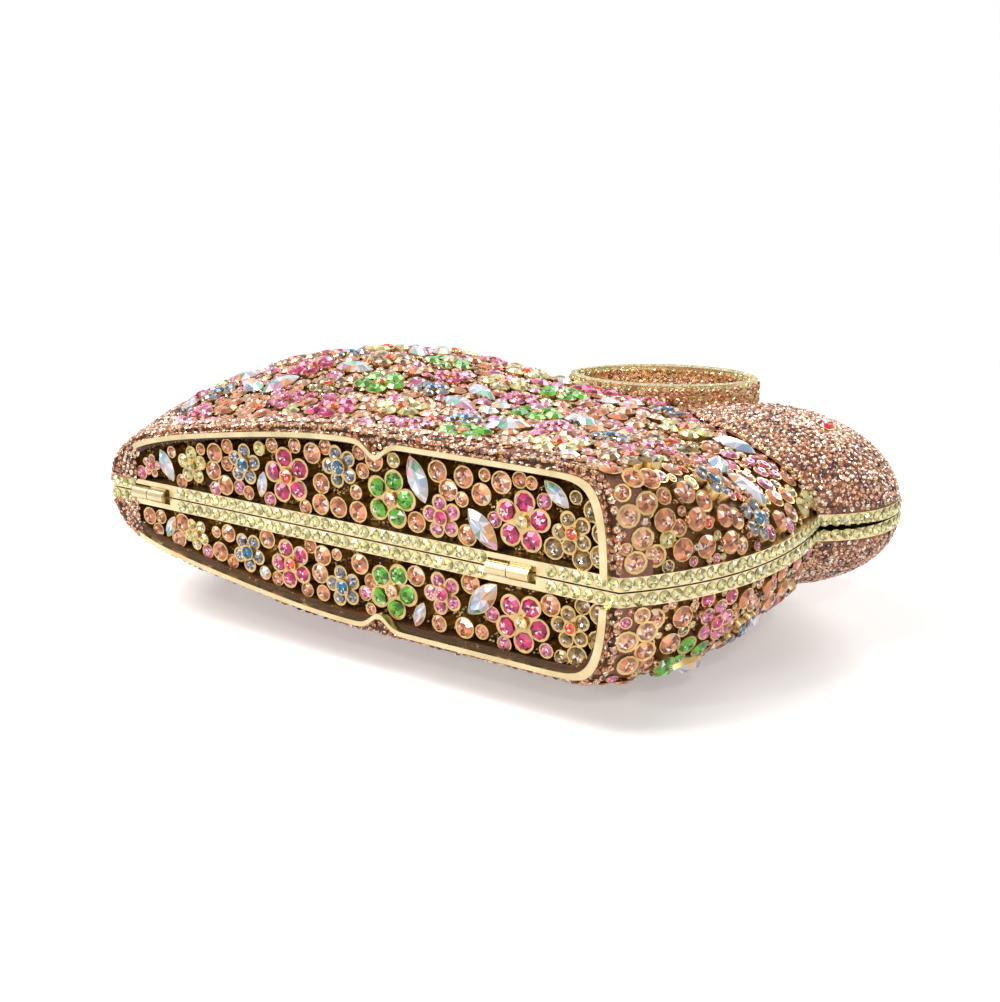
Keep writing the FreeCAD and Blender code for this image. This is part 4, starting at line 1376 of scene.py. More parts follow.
@dataclass
class Half:
    """One half of the case: its packed surfaces, and tests of places on them. Sizes in millimetres."""

    side: Side
    place: CasePlace
    cuts: Cuts
    finishes: Finishes
    seed: int = 40
    rear_seed: int = 7
    middle_along: float = 46.0
    band: float = 4.4
    tail_start: float = -2.0
    tail_slope: float = 1.3
    least_top: float = 1.0
    floor_low: float = 0.5
    floor_high: float = 1.7
    rim_gap: float = 0.05
    base_gap: float = 0.01

    def __post_init__(self) -> None:
        """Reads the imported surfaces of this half."""
        if self.side is Side.REAR:
            self.seed += self.rear_seed
        self.middle = self.place.point(self.middle_along, 0, 0, self.side)
        self.relief = Relief(self.node("openwork"))
        self.base_relief = Relief(self.node("base_panel"))
        self.base_relief.tops = [t for t in self.base_relief.tops if t.out.y < -FACING]
        self.shell = Skin(self.node("shell"))
        self.relief.tops = [t for t in self.relief.tops if self.height(t.middle, t.out) > self.least_top]
        self.floor = Skin(self.node("openwork"), self.is_floor, self.relief.faces)
        self.band_skin = Skin(self.node("openwork"), self.is_band, self.relief.faces)
        self.ear = Skin(self.node("ear"))
        self.head = Skin(self.node("head"))

    def node(self, word: str) -> str:
        """Name of one of this half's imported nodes."""
        return f"{self.side.word}_{word}"

    def off_rim(self, point: Vector, gap: float) -> bool:
        """Whether a point lies more than a gap, in metres, from the rim's edge."""
        return abs(point.z - self.place.parting) > self.place.rim + gap

    def height(self, centre: Vector, normal: Vector) -> float:
        """Height of an outward face above the shell, in millimetres.

        Args:
            centre: The face's middle.
            normal: Its normal.

        Returns:
            The height, or 0 for a face at the rim, at the base or turned inwards.
        """
        away = centre - self.middle
        outward = normal.x * away.x + normal.z * away.z > 0
        above = self.place.up(centre) >= self.base_gap
        if not (outward and above and self.off_rim(centre, self.rim_gap * MM)):
            return 0.0
        return self.shell.tree.find_nearest(centre)[3] / MM

    def is_floor(self, centre: Vector, normal: Vector) -> bool:
        """Whether a face of the openwork is the ground between the flowers."""
        between = self.floor_low < self.height(centre, normal) < self.floor_high
        return between and self.place.up(centre) > self.band

    def is_band(self, centre: Vector, normal: Vector) -> bool:
        """Whether a face of the openwork is the outside of its plain band."""
        return self.height(centre, normal) > self.floor_high

    def band_top(self, along: float) -> float:
        """Height of the closely set band at a place along the base, in millimetres."""
        return self.band + self.tail_slope * max(0.0, self.tail_start - along)

    def new_box(self, name: str) -> StoneBox:
        """An empty box of stones for one region of this half."""
        return StoneBox(name, self.side, self.cuts)

    def dress_nodes(self) -> None:
        """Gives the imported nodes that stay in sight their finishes."""
        fin = self.finishes
        plain = {"shell": fin.ground, "head": fin.pave_ground, "ear": fin.gold, "base_lip": fin.gold,
                 "frame": fin.gold, "magnet": fin.steel}
        for word, material in plain.items():
            dress(bpy.data.objects[self.node(word)], material)
        for word, relief in (("openwork", self.relief), ("base_panel", self.base_relief)):
            node = bpy.data.objects[self.node(word)]
            dress(node, fin.ground)
            for material in (fin.cup_gold, fin.pave_ground, fin.recess):
                node.data.materials.append(material)
            for face in node.data.polygons:
                if face.index in relief.faces:
                    face.material_index = Ground.CUP
                elif word == "openwork" and self.is_band(face.center, face.normal):
                    face.material_index = Ground.PAVE
                # Faces turned to the base take the recess ground, painted darker as shade
                elif face.normal.y < -FACING:
                    face.material_index = Ground.RECESS


@dataclass
class FlowerBed:
    """Flowers, leaf stones and single stones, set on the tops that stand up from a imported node."""

    name: str
    half: Half
    relief: Relief
    spots: Sequence[Spot]
    seed: int
    depth: float = 1.35 * MM
    near: float = 5.0 * MM
    large: float = 5.0 * MM
    tilt: float = 0.13
    tilt_range: Range = (0.3, 1.4)
    wall: float = 0.06 * MM
    knob: float = 0.5 * MM
    knob_foot: float = 0.4 * MM
    overlap: float = 0.82
    sunk: float = 0.3 * MM
    uneven: float = 0.35
    fill_share: float = 0.93
    patches: Sequence[Spot] = ()
    patch_reach: float = 5.5 * MM
    leaf_cover: tuple[Range, ...] = ((-0.7, 0.25), (-0.3, 0.42), (0.3, 0.42), (0.7, 0.25))
    cell: float = 12 * MM

    def __post_init__(self) -> None:
        """Opens an empty box of stones."""
        self.rng = random.Random(self.seed)
        self.box = self.half.new_box(self.name)
        self.room = Room(self.cell)

    def spin(self) -> float:
        """A turn at random."""
        return self.rng.uniform(0, math.tau)

    def away(self, spot: Spot, point: Vector) -> float:
        """Distance of a point from a chosen place, in metres."""
        return (self.half.place.point(spot.along, spot.up, spot.across, self.half.side) - point).length

    def kind_of(self, top: Top) -> BloomKind:
        """Kind of the nearest chosen flower of the same form, or one at random.

        Args:
            top: The flat top to set.

        Returns:
            The kind of flower or single stone.
        """
        single = top.form is Form.STUD
        best, gap = None, self.near
        for spot in self.spots:
            if spot.kind.value.single == single and self.away(spot, top.middle) < gap:
                best, gap = spot.kind, self.away(spot, top.middle)
        if best is None:
            flowers = LARGE_BLOOMS if top.reach > self.large else SMALL_BLOOMS
            best = self.rng.choice(SINGLES if single else flowers)
        return best.value

    def tint_at(self, point: Vector, tint: Tint) -> Tint:
        """Colour of a single stone; inside a patch it is the patch's.

        Args:
            point: The stone's place.
            tint: Its colour elsewhere.

        Returns:
            The colour to use.
        """
        for spot in self.patches:
            if self.away(spot, point) < self.patch_reach:
                return spot.kind.value.petal
        return tint

    def take(self, point: Vector, out: Vector, radius: float) -> None:
        """Marks the ground under a stone as taken."""
        self.room.take(point - out * self.depth, radius)

    def set_tops(self) -> None:
        """Sets every top with its stones."""
        for top in self.relief.tops:
            if top.form is Form.LEAF:
                self.box.set_leaf(top.middle, top.out, top.reach - self.wall, top.ahead)
                for share, wide in self.leaf_cover:
                    self.take(top.middle + top.ahead * top.reach * share, top.out, top.reach * wide)
            elif top.form is Form.STUD:
                tint = self.tint_at(top.middle, self.kind_of(top).petal)
                self.box.set_stone(top.middle, top.out, top.reach - self.wall, tint, self.spin())
                self.take(top.middle, top.out, top.reach)
            else:
                self.set_flower(top, self.kind_of(top))

    def set_flower(self, top: Top, kind: BloomKind) -> None:
        """Sets a ring of petals round a raised centre.

        Args:
            top: The flower's flat top.
            kind: Its colours and shares.
        """
        ring = top.reach * kind.ring / kind.reach
        radius = top.reach - ring
        ahead = top.ahead.copy()
        step = Quaternion(top.out, math.tau / PETALS)
        for _ in range(PETALS):
            ahead.rotate(step)
            out = (top.out + ahead * self.tilt * self.rng.uniform(*self.tilt_range)).normalized()
            self.box.set_stone(top.middle + ahead * ring, out, radius - self.wall, kind.petal, self.spin())
            self.take(top.middle + ahead * ring, top.out, radius)
        if kind.centre is not None:
            size = kind.centre_radius * top.reach / kind.reach
            self.box.set_cupped(top.middle + top.out * self.knob, top.out, size, kind.centre, self.spin(),
                                self.knob + self.knob_foot)

    def set_fill(self, floor: Skin, allowed: Callable[[Vector, float], bool],
                 sizes: dict[float, tuple[Tint, ...]], tries: int = 9000) -> None:
        """Sets single stones in cups, from large to small, in the gaps that are left.

        Args:
            floor: The ground between the flowers.
            allowed: Test of a place and a radius.
            sizes: Tints to choose from for each radius in millimetres.
            tries: Places tried for each size.
        """
        rise = self.depth - self.sunk
        for step, (size, tints) in enumerate(sizes.items()):
            radius = size * MM
            for point in floor.scatter(tries, self.seed + 1 + step):
                if allowed(point, radius) and self.room.free(point, radius * self.overlap):
                    out = floor.snap(point)[1]
                    self.room.take(point, radius)
                    girdle = point + out * (rise - self.rng.uniform(0, self.uneven) * MM)
                    tint = self.tint_at(girdle, self.rng.choice(tints))
                    self.box.set_cupped(girdle, out, radius * self.fill_share, tint, self.spin(), rise)

    def set_grains(self, floor: Skin, count: int, seed: int, sizes: Range) -> None:
        """Scatters tiny metal balls over the ground.

        Args:
            floor: The ground between the flowers.
            count: Number of balls.
            seed: Seed of their places.
            sizes: Least and largest radius, in millimetres.
        """
        for point in floor.scatter(count, seed):
            self.box.set_bead(point, floor.snap(point)[1], self.rng.uniform(*sizes) * MM)


@dataclass
class Flank:
    """Flowers of the body's skin. Sizes in millimetres."""

    half: Half
    rim_share: float = 0.6
    band_share: float = 0.8
    clearance: float = 0.4
    grains: int = 1500
    grain_range: Range = (0.2, 0.4)

    def clear(self, point: Vector, radius: float) -> bool:
        """Whether a stone stays clear of rim, band, ear and head.

        Args:
            point: Its place on the ground.
            radius: Its radius, in metres.

        Returns:
            True where it may be set.
        """
        half = self.half
        top = half.band_top(half.place.along(point)) * MM
        if not half.off_rim(point, radius * self.rim_share):
            return False
        if half.place.up(point) * MM < top + radius * self.band_share:
            return False
        gap = radius + self.clearance * MM
        return all(shape.tree.find_nearest(point)[3] > gap for shape in (half.ear, half.head))

    def build(self) -> None:
        """Sets the flowers, the stones between them and the grains of the ground."""
        half = self.half
        front = half.side is Side.FRONT
        chest = FRONT_CHEST_SPOTS if front else REAR_CHEST_SPOTS
        bed = FlowerBed("flank", half, half.relief, FLANK_SPOTS + chest, half.seed + Seed.FLANK,
                        patches=FRONT_PATCHES if front else REAR_PATCHES)
        bed.set_tops()
        bed.set_fill(half.floor, self.clear, FLANK_FILL)
        bed.set_grains(half.floor, self.grains, half.seed + Seed.FLANK_GRAINS, self.grain_range)
        bed.box.make(half.finishes, half.seed + Seed.FLANK, "flower_openwork")


@dataclass
class BaseRecess:
    """Flowers of the recess in the base. Sizes in millimetres."""

    half: Half
    depth: float = 3.3
    tilt: float = 0.26
    wall: float = 0.2
    patch_reach: float = 8.0
    rim_share: float = 0.8
    wall_share: float = 0.9
    tries: int = 2600
    grains: int = 1500
    grain_range: Range = (0.2, 0.45)

    def build(self) -> None:
        """Sets the flowers, the stones between them and the grains of the ground."""
        half = self.half
        bed = FlowerBed("base", half, half.base_relief, BASE_SPOTS, half.seed + Seed.BASE,
                        depth=self.depth * MM, tilt=self.tilt, wall=self.wall * MM, patches=BASE_PATCHES,
                        patch_reach=self.patch_reach * MM)
        bed.set_tops()
        plate = Skin(half.node("base_panel"), lambda c, n: n.y < -FACING, half.base_relief.faces)
        wall = Skin(half.node("openwork")).tree

        def inside(point: Vector, radius: float) -> bool:
            """Whether a stone fits between the rim and the wall of the recess."""
            off_rim = half.off_rim(point, radius * self.rim_share)
            return off_rim and wall.find_nearest(point)[3] > radius * self.wall_share

        bed.set_fill(plate, inside, BASE_FILL, self.tries)
        bed.set_grains(plate, self.grains, half.seed + Seed.BASE_GRAINS, self.grain_range)
        bed.box.make(half.finishes, half.seed + Seed.BASE, "flower_openwork")


@dataclass
class BaseBand:
    """Close-set band round the base and tail, with the lip's outside and the foot. Sizes in millimetres."""

    half: Half
    depth: float = 0.6
    pitch: float = 1.32
    radius: float = 0.78
    free_share: float = 0.5
    below_top: float = 0.4
    rim_gap: float = 0.7
    chest_start: float = 100.0
    chest_low: float = 0.7
    chest_tries: int = 3000
    bead_up: float = 0.12
    bead_pitch: float = 0.95
    bead_radius: float = 0.36
    bead_rim_gap: float = 0.6
    lip_cover: float = -1.2
    lip_upright: float = 0.3
    lip_pitch: float = 1.05
    lip_radius: float = 0.62
    foot_end: float = -9.4
    foot_gap: float = 0.25
    foot_pitch: float = 1.1
    foot_radius: float = 0.66
    edge_up: float = 3.7
    edge_pitch: float = 2.5
    edge_range: Range = (0.85, 1.3)
    edge_rim_gap: float = 1.6
    edge_rise: float = 0.25
    edge_foot: float = 0.6
    ray_steps: int = 360
    ray_along: float = 72.0
    ray_across: float = 20.0
    ray_start: float = 200.0
    longest: float = 4.0

    def contour(self, up: float, pitch: float) -> list[tuple[Vector, Vector]]:
        """Evenly spaced places round the body's outside at one height, from half a pitch past its end.

        Args:
            up: Height above the base, in millimetres.
            pitch: Spacing, in millimetres.

        Returns:
            Place and normal of each.
        """
        half = self.half
        middle = half.place.point(half.middle_along, up, 0, half.side)
        hits = []
        for k in range(self.ray_steps + 1):
            angle = math.pi * k / self.ray_steps
            across = math.sin(angle) * self.ray_across * half.side.value
            reach = Vector((-math.cos(angle) * self.ray_along, 0, across)).normalized()
            seat, normal, _, _ = half.band_skin.tree.ray_cast(middle + reach * self.ray_start * MM, -reach)
            if seat is not None and normal.dot(reach) > 0:
                hits.append(seat)
        places, left = [], pitch * MM / 2
        for a, b in zip(hits, hits[1:]):
            length = (b - a).length
            while left <= length < self.longest * MM:
                places.append(half.band_skin.snap(a.lerp(b, left / max(length, TINY))))
                left += pitch * MM
            left -= length
        return places

    def on_chest(self, point: Vector, radius: float) -> bool:
        """Whether a larger stone may be set here, past the end of the recess.

        Args:
            point: Its place on the band.
            radius: Its radius, in metres.

        Returns:
            True where it may be set.
        """
        half = self.half
        above = half.place.up(point) * MM > self.chest_low * radius
        return above and half.off_rim(point, radius) and half.place.along(point) > self.chest_start

    def on_band(self, point: Vector) -> bool:
        """Whether a point lies on the band, below its top and off the rim."""
        top = self.half.band_top(self.half.place.along(point)) - self.below_top
        return self.half.place.up(point) < top and self.half.off_rim(point, self.rim_gap * MM)

    def build(self) -> None:
        """Sets the chest, the band, the lip and the foot, and a row of larger stones on the band's top."""
        half, seed = self.half, self.half.seed
        bed = FlowerBed("band", half, half.relief, (), seed + Seed.BAND, depth=self.depth * MM)
        box, rng, skin = bed.box, bed.rng, half.band_skin
        bed.set_fill(skin, self.on_chest, CHEST_FILL, self.chest_tries)
        for point in skin.spread(self.pitch * MM, self.on_band, seed + Seed.BAND):
            if bed.room.free(point, self.radius * self.free_share * MM):
                box.set_pave(point, skin.snap(point)[1], self.radius * MM, PAVE, rng)
        for seat, out in self.contour(self.bead_up, self.bead_pitch):
            if half.off_rim(seat, self.bead_rim_gap * MM):
                box.set_bead(seat, out, self.bead_radius * MM)
        self._lip_and_foot(box, rng)
        for seat, out in self.contour(self.edge_up, self.edge_pitch):
            radius = rng.uniform(*self.edge_range) * MM
            off_rim = half.off_rim(seat, self.edge_rim_gap * MM)
            if off_rim and half.place.along(seat) > half.tail_start and bed.room.free(seat, radius):
                tint = rng.choice(PALE_PAVE)
                box.set_cupped(seat + out * self.edge_rise * MM, out, radius, tint, rng.uniform(0, math.tau),
                               self.edge_foot * MM)
        box.make(half.finishes, seed + Seed.BAND, "pave_head")

    def _lip_and_foot(self, box: StoneBox, rng: random.Random) -> None:
        """Sets the outside of the lip and the foot round it.

        Args:
            box: The band's stones.
            rng: Source of the choices.
        """
        half = self.half
        lip = Skin(half.node("base_lip"),
                   lambda c, n: abs(n.y) < self.lip_upright and n.dot(c - half.middle) > 0)
        foot = Skin(half.node("openwork"), lambda c, n: n.y < -FACING)
        start = half.place.point(self.foot_end, 0, 0, half.side).x

        def on_lip(point: Vector) -> bool:
            """Whether a point of the lip shows above the foot."""
            return half.place.up(point) > self.lip_cover

        def off_lip(point: Vector) -> bool:
            """Whether a point of the foot lies past the lip's end or outside the lip."""
            seat, out = lip.snap(point)
            return point.x < start or (point - seat).dot(out) > self.foot_gap * MM

        for point in lip.spread(self.lip_pitch * MM, on_lip, half.seed + Seed.LIP):
            box.set_pave(point, lip.snap(point)[1], self.lip_radius * MM, PALE_PAVE, rng)
        for point in foot.spread(self.foot_pitch * MM, off_lip, half.seed + Seed.FOOT):
            box.set_pave(point, Vector((0, -1, 0)), self.foot_radius * MM, PAVE, rng)


@dataclass
class Head:
    """Close-set head, with a row of beads where it meets the body. Sizes in millimetres."""

    half: Half
    pitch: float = 1.22
    radius: float = 0.72
    lift: float = 0.05
    neck: float = 2.75
    ear_share: float = 0.6
    eye_gap: float = 3.4
    eye_ring: float = 6.5
    eye_growth: float = 1.2
    seam_width: float = 0.3
    seam_pitch: float = 0.75
    seam_bead: float = 0.5

    def build(self) -> None:
        """Sets the head closely with small stones, paler and larger round the eye."""
        half = self.half
        body = half.shell.tree
        low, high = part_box(half.node("eye"))
        eye = (low + high) / 2
        radius = self.radius * MM

        def outside(centre: Vector, normal: Vector) -> bool:
            """Whether a face of the head is in sight, off the rim and the body.

            Args:
                centre: The face's middle.
                normal: Its outward normal.

            Returns:
                True where stones may be set on it.
            """
            if not half.off_rim(centre, half.rim_gap * MM) or body.find_nearest(centre)[3] < self.neck * MM:
                return False
            return half.head.tree.ray_cast(centre + normal * self.lift * MM, normal)[0] is None

        def clear(point: Vector) -> bool:
            """Whether a stone stays clear of rim, eye and ear.

            Args:
                point: The stone's place.

            Returns:
                True where it is clear of all three.
            """
            off_eye = (point - eye).length > self.eye_gap * MM
            off_ear = half.ear.tree.find_nearest(point)[3] > radius * self.ear_share
            return off_eye and off_ear and half.off_rim(point, radius)

        skin = Skin(half.node("head"), outside)
        box = half.new_box("head")
        rng = random.Random(half.seed + Seed.HEAD)
        for point in skin.spread(self.pitch * MM, clear, half.seed + Seed.HEAD):
            near_eye = (point - eye).length < self.eye_ring * MM
            size = radius * (self.eye_growth if near_eye else 1.0)
            box.set_pave(point, skin.snap(point)[1], size, PALE_PAVE if near_eye else PAVE, rng)
        for seat in skin.seam(body, self.neck * MM, self.seam_width * MM, self.seam_pitch * MM,
                              half.seed + Seed.NECK):
            box.set_bead(seat, skin.snap(seat)[1], self.seam_bead * MM)
        box.make(half.finishes, half.seed + Seed.HEAD, "pave_head")


@dataclass
class Ear:
    """Ear with stones along its rim, in its hollow and on its outside. Sizes in millimetres."""

    half: Half
    rim_pitch: float = 1.75
    rim_radius: float = 0.85
    top_flatness: float = 0.4
    side_lean: float = 0.4
    side_drop: float = 0.8
    upright: float = 0.3
    rim_gap: float = 0.5
    below_rim: float = 1.3
    above_body: float = 2.9
    hollow_pitch: float = 1.22
    hollow_radius: float = 0.7
    wall_pitch: float = 1.6
    wall_range: Range = (0.75, 1.0)
    wall_rise: float = 0.2
    wall_foot: float = 0.5

    def build(self) -> None:
        """Sets the rim, the hollow and the outside wall."""
        half, node = self.half, self.half.node("ear")
        ring = flat_ring(node, half.side)
        middle = sum((f.center for f in ring), Vector()) / len(ring)
        out, level = ring[0].normal.copy(), ring[0].center.dot(ring[0].normal)
        box = half.new_box("ear")
        rng = random.Random(half.seed + Seed.EAR)
        self._rim(box, rng, ring)
        hollow = Skin(node, lambda c, n: n.dot(out) > self.upright or n.dot(middle - c) > 0,
                      {f.index for f in ring})
        wall = Skin(node, lambda c, n: abs(n.dot(out)) < self.upright and n.dot(middle - c) < 0)

        def in_sight(point: Vector) -> bool:
            """Whether a point lies below the rim's stones and clear of the body."""
            below = level - point.dot(out) > self.below_rim * MM and half.off_rim(point, self.rim_gap * MM)
            return below and half.shell.tree.find_nearest(point)[3] > self.above_body * MM

        for point in hollow.spread(self.hollow_pitch * MM, in_sight, half.seed + Seed.HOLLOW):
            box.set_pave(point, hollow.snap(point)[1], self.hollow_radius * MM, AMBER_PAVE, rng)
        for point in wall.spread(self.wall_pitch * MM, in_sight, half.seed + Seed.EAR_WALL):
            normal = wall.snap(point)[1]
            radius, tint = rng.uniform(*self.wall_range) * MM, rng.choice(PALE_PAVE)
            girdle = point + normal * self.wall_rise * MM
            box.set_cupped(girdle, normal, radius, tint, rng.uniform(0, math.tau), self.wall_foot * MM)
        box.make(half.finishes, half.seed + Seed.EAR, "pave_head")

    def _rim(self, box: StoneBox, rng: random.Random, ring: Sequence[bpy.types.MeshPolygon]) -> None:
        """Sets three rows along the rim: on its top and on either side.

        Args:
            box: The ear's stones.
            rng: Source of the choices.
            ring: Faces of the rim's flat top.
        """
        out, radius = ring[0].normal.copy(), self.rim_radius * MM
        row, half_width = mid_line(bpy.data.objects[self.half.node("ear")].data, ring, self.rim_pitch * MM)
        log.info("%s ear rim: %d stones, half width %.2f mm", self.half.side.word, len(row), half_width / MM)
        lean = out * self.side_lean
        for seat, away in row:
            for face, drop, flatness in ((out, 0.0, self.top_flatness), (lean + away, self.side_drop, 1.0),
                                         (lean - away, self.side_drop, 1.0)):
                spot = seat + (face - out * face.dot(out)) * half_width - out * drop * MM
                size = Vector((radius, radius, radius * flatness))
                box.rounds.append(Setting(spot, face.normalized(), size, rng.uniform(0, math.tau),
                                          tint=Tint.JONQUIL))


@dataclass
class Eye:
    """Red almond stone in a thin bezel, with a ring of small stones. Sizes in millimetres."""

    half: Half
    growth: float = 1.3
    shift: float = 0.8
    rise: float = 0.3
    stone_length: float = 0.9
    stone_width: float = 1.3
    bezel_width: float = 1.42
    bezel_rise: float = 0.1
    bezel_depth: float = 0.8
    lid_stones: int = 14
    lid_radius: float = 0.62
    lid_length: float = 1.3
    lid_width: float = 1.05

    def build(self) -> None:
        """Sets the stone, its bezel and the lids."""
        half, head = self.half, self.half.head
        top = max(Relief(half.node("eye")).tops, key=lambda t: t.out.z * half.side.value)
        reach = top.reach * self.growth
        seat, out = head.snap(top.middle + Vector((0, -self.shift * MM, 0)))
        seat = seat + out * self.rise * MM
        box = half.new_box("eye")
        stone = Vector((self.stone_length, self.stone_width, self.stone_length)) * reach
        box.almonds.append(Setting(seat, out, stone, 0.0, top.ahead, Tint.RED))
        bezel = Vector((reach, reach * self.bezel_width, self.bezel_depth * MM))
        box.leaf_cups.append(Setting(seat + out * self.bezel_rise * MM, out, bezel, 0.0, top.ahead))
        ahead = (top.ahead - out * top.ahead.dot(out)).normalized() * reach * self.lid_length
        beside = out.cross(ahead.normalized()) * reach * self.lid_width
        rng = random.Random(half.seed + Seed.EYE)
        for k in range(self.lid_stones):
            angle = math.tau * k / self.lid_stones
            place, normal = head.snap(seat + ahead * math.cos(angle) + beside * math.sin(angle))
            box.set_pave(place, normal, self.lid_radius * MM, LID_PAVE, rng)
        box.make(half.finishes, half.seed + Seed.EYE, "eye_stone", (half.node("eye"),))


@dataclass
class RimRow:
    """Stones of the rim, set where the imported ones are."""

    half: Half
    growth: float = 1.16
    sink: float = 0.25
    middle_along: float = 60.0
    middle_up: float = 50.0

    def build(self) -> None:
        """Sets one cut stone in the place of each packed one."""
        half = self.half
        box = half.new_box("rim_row")
        middle = half.place.point(self.middle_along, self.middle_up, 0, half.side)
        rng = random.Random(half.seed + Seed.RIM)
        for centre, out, radius in packed_stones(half.node("rim_stones"), middle):
            size = radius * self.growth
            box.rounds.append(Setting(centre - out * size * self.sink, out, even(size),
                                      rng.uniform(0, math.tau), tint=Tint.OLIVE))
        box.make(half.finishes, half.seed + Seed.RIM, "rim_stone", (half.node("rim_stones"),))


@dataclass
class Lining:
    """Leather lining of one half."""

    half: Half
    merge: float = 1e-6
    crease: float = math.radians(50)

    def build(self) -> None:
        """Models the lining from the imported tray."""
        half = self.half
        name = f"{half.side.word}_lining_leather"
        piece = bpy.data.objects.new(name, bpy.data.objects[half.node("lining")].data.copy())
        piece.data.name = name
        bpy.context.scene.collection.objects.link(piece)
        edit(piece)
        bpy.ops.mesh.select_all(action="SELECT")
        bpy.ops.mesh.remove_doubles(threshold=self.merge)
        bpy.ops.object.mode_set(mode="OBJECT")
        piece.data.shade_smooth()
        piece.data.set_sharp_from_angle(angle=self.crease)
        dress(piece, half.finishes.leather)
        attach(piece, half.side.body)
        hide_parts(half.node("lining"))
        log.info("%s: %d faces", piece.name, len(piece.data.polygons))


def vertex_groups(mesh: bpy.types.Mesh, weld: float = 0.0) -> np.ndarray:
    """Group number of every vertex; vertices that a face joins are of one group.

    Args:
        mesh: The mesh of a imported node.
        weld: Distance in metres within which vertices count as one, or 0.

    Returns:
        One number per vertex.
    """
    parent = list(range(len(mesh.vertices)))

    def root(k: int) -> int:
        """First vertex of the group that a vertex is in so far.

        Args:
            k: The vertex.

        Returns:
            The number of the first one.
        """
        while parent[k] != k:
            parent[k] = parent[parent[k]]
            k = parent[k]
        return k

    if weld:
        first: dict[tuple[int, ...], int] = {}
        for vertex in mesh.vertices:
            key = tuple(round(c / weld) for c in vertex.co)
            parent[root(vertex.index)] = root(first.setdefault(key, vertex.index))
    for face in mesh.polygons:
        anchor = root(face.vertices[0])
        for k in face.vertices[1:]:
            parent[root(k)] = anchor
    return np.array([root(k) for k in range(len(parent))])


def flat_ring(node: str, side: Side, least: float = 10 * MM * MM,
              upward: float = 0.4) -> list[bpy.types.MeshPolygon]:
    """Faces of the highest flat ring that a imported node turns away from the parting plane.

    Args:
        node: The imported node.
        side: Its half.
        least: Smallest area that counts, in square metres.
        upward: Least share of its normal away from the parting plane.

    Returns:
        The ring's faces.
    """
    mesh = bpy.data.objects[node].data
    groups = vertex_groups(mesh)
    owner = groups[[f.vertices[0] for f in mesh.polygons]]
    best, height = [], -math.inf
    for group in np.unique(owner):
        faces = [mesh.polygons[k] for k in np.nonzero(owner == group)[0]]
        area = sum(f.area for f in faces)
        lean = sum((f.normal * f.area for f in faces), Vector())
        if lean.length > FLAT * area and lean.z * side.value > upward * area and area > least:
            level = faces[0].center.dot(lean) / lean.length
            if level > height:
                best, height = faces, level
    return best


def mid_line(mesh: bpy.types.Mesh, ring: Sequence[bpy.types.MeshPolygon], pitch: float,
             share: float = 0.42, steps: int = 6) -> tuple[list[tuple[Vector, Vector]], float]:
    """Evenly spaced points along the middle of a flat ring, which may be open at one end.

    Args:
        mesh: The ring's mesh.
        ring: Its faces.
        pitch: Spacing, in metres.
        share: Radius that each point keeps free, as a share of the pitch.
        steps: Places tried in each pitch.

    Returns:
        Place and outward direction of each point, and half the ring's width.
    """
    owners: dict[tuple[int, int], list[bpy.types.MeshPolygon]] = {}
    for face in ring:
        for key in face.edge_keys:
            owners.setdefault(key, []).append(face)
    edges = {key: faces[0] for key, faces in owners.items() if len(faces) == 1}
    ends = {key: [mesh.vertices[k].co for k in key] for key in edges}
    middle = sum((a + b for a, b in ends.values()), Vector()) / (2 * len(ends))
    half = sum(f.area for f in ring) / sum((a - b).length for a, b in ends.values())
    beside: dict[int, list[tuple[int, int]]] = {}
    for key in edges:
        for k in key:
            beside.setdefault(k, []).append(key)
    ordered: dict[tuple[int, int], None] = {}
    for first in edges:
        here = None if first in ordered else first
        while here is not None:
            ordered[here] = None
            here = next((k for end in here for k in beside[end] if k not in ordered), None)
    room, places, left = Room(pitch), [], 0.0
    for key in ordered:
        a, b = ends[key]
        length = (b - a).length
        along = (b - a).normalized()
        into = edges[key].center - a
        into = (into - along * into.dot(along)).normalized()
        while left <= length:
            spot = a + along * left + into * half
            if into.dot(middle - spot) > 0 and room.free(spot, pitch * share):
                room.take(spot, pitch * share)
                places.append((spot, -into))
            left += pitch / steps
        left -= length
    return places, half


def packed_stones(node: str, middle: Vector, weld: float = 0.002 * MM,
                  digits: int = 7) -> list[tuple[Vector, Vector, float]]:
    """Finds the separate stones of a packed row.

    Args:
        node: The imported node.
        middle: A point inside the ring of stones.
        weld: Distance within which corners count as one, in metres.
        digits: Decimal places that tell corners apart.

    Returns:
        Centre, outward direction and radius of each stone.
    """
    mesh = bpy.data.objects[node].data
    points = np.array([v.co for v in mesh.vertices], float)
    groups = vertex_groups(mesh, weld)
    stones = []
    for group in np.unique(groups):
        cloud = np.unique(np.round(points[groups == group], digits), axis=0)
        low, high = cloud.min(0), cloud.max(0)
        flat = cloud[:, :2] - cloud[:, :2].mean(0)
        axis = np.linalg.svd(flat, full_matrices=False)[2][1]
        out = Vector((axis[0], axis[1], 0.0))
        centre = Vector((*cloud[:, :2].mean(0), (low[2] + high[2]) / 2))
        if out.dot(centre - middle) < 0:
            out = -out
        stones.append((centre, out.normalized(), float(high[2] - low[2]) / 2))
    return stones


@dataclass
class Hardware:
    """Hinges and strap loops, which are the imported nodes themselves."""

    finishes: Finishes

    def build(self) -> None:
        """Gives the small metal parts their plating."""
        for hand in ("left", "right"):
            for word in ("hinge_front_knuckle", "hinge_rear_knuckle", "hinge_pin", "strap_loop"):
                dress(bpy.data.objects[f"{hand}_{word}"], self.finishes.gold)
                log.info("%s_%s plated", hand, word)


def aim(piece: bpy.types.Object, place: Place, target: Place) -> None:
    """Puts a lamp or camera at a place, facing a target."""
    piece.location = place
    piece.rotation_euler = (Vector(target) - Vector(place)).to_track_quat("-Z", "Y").to_euler()


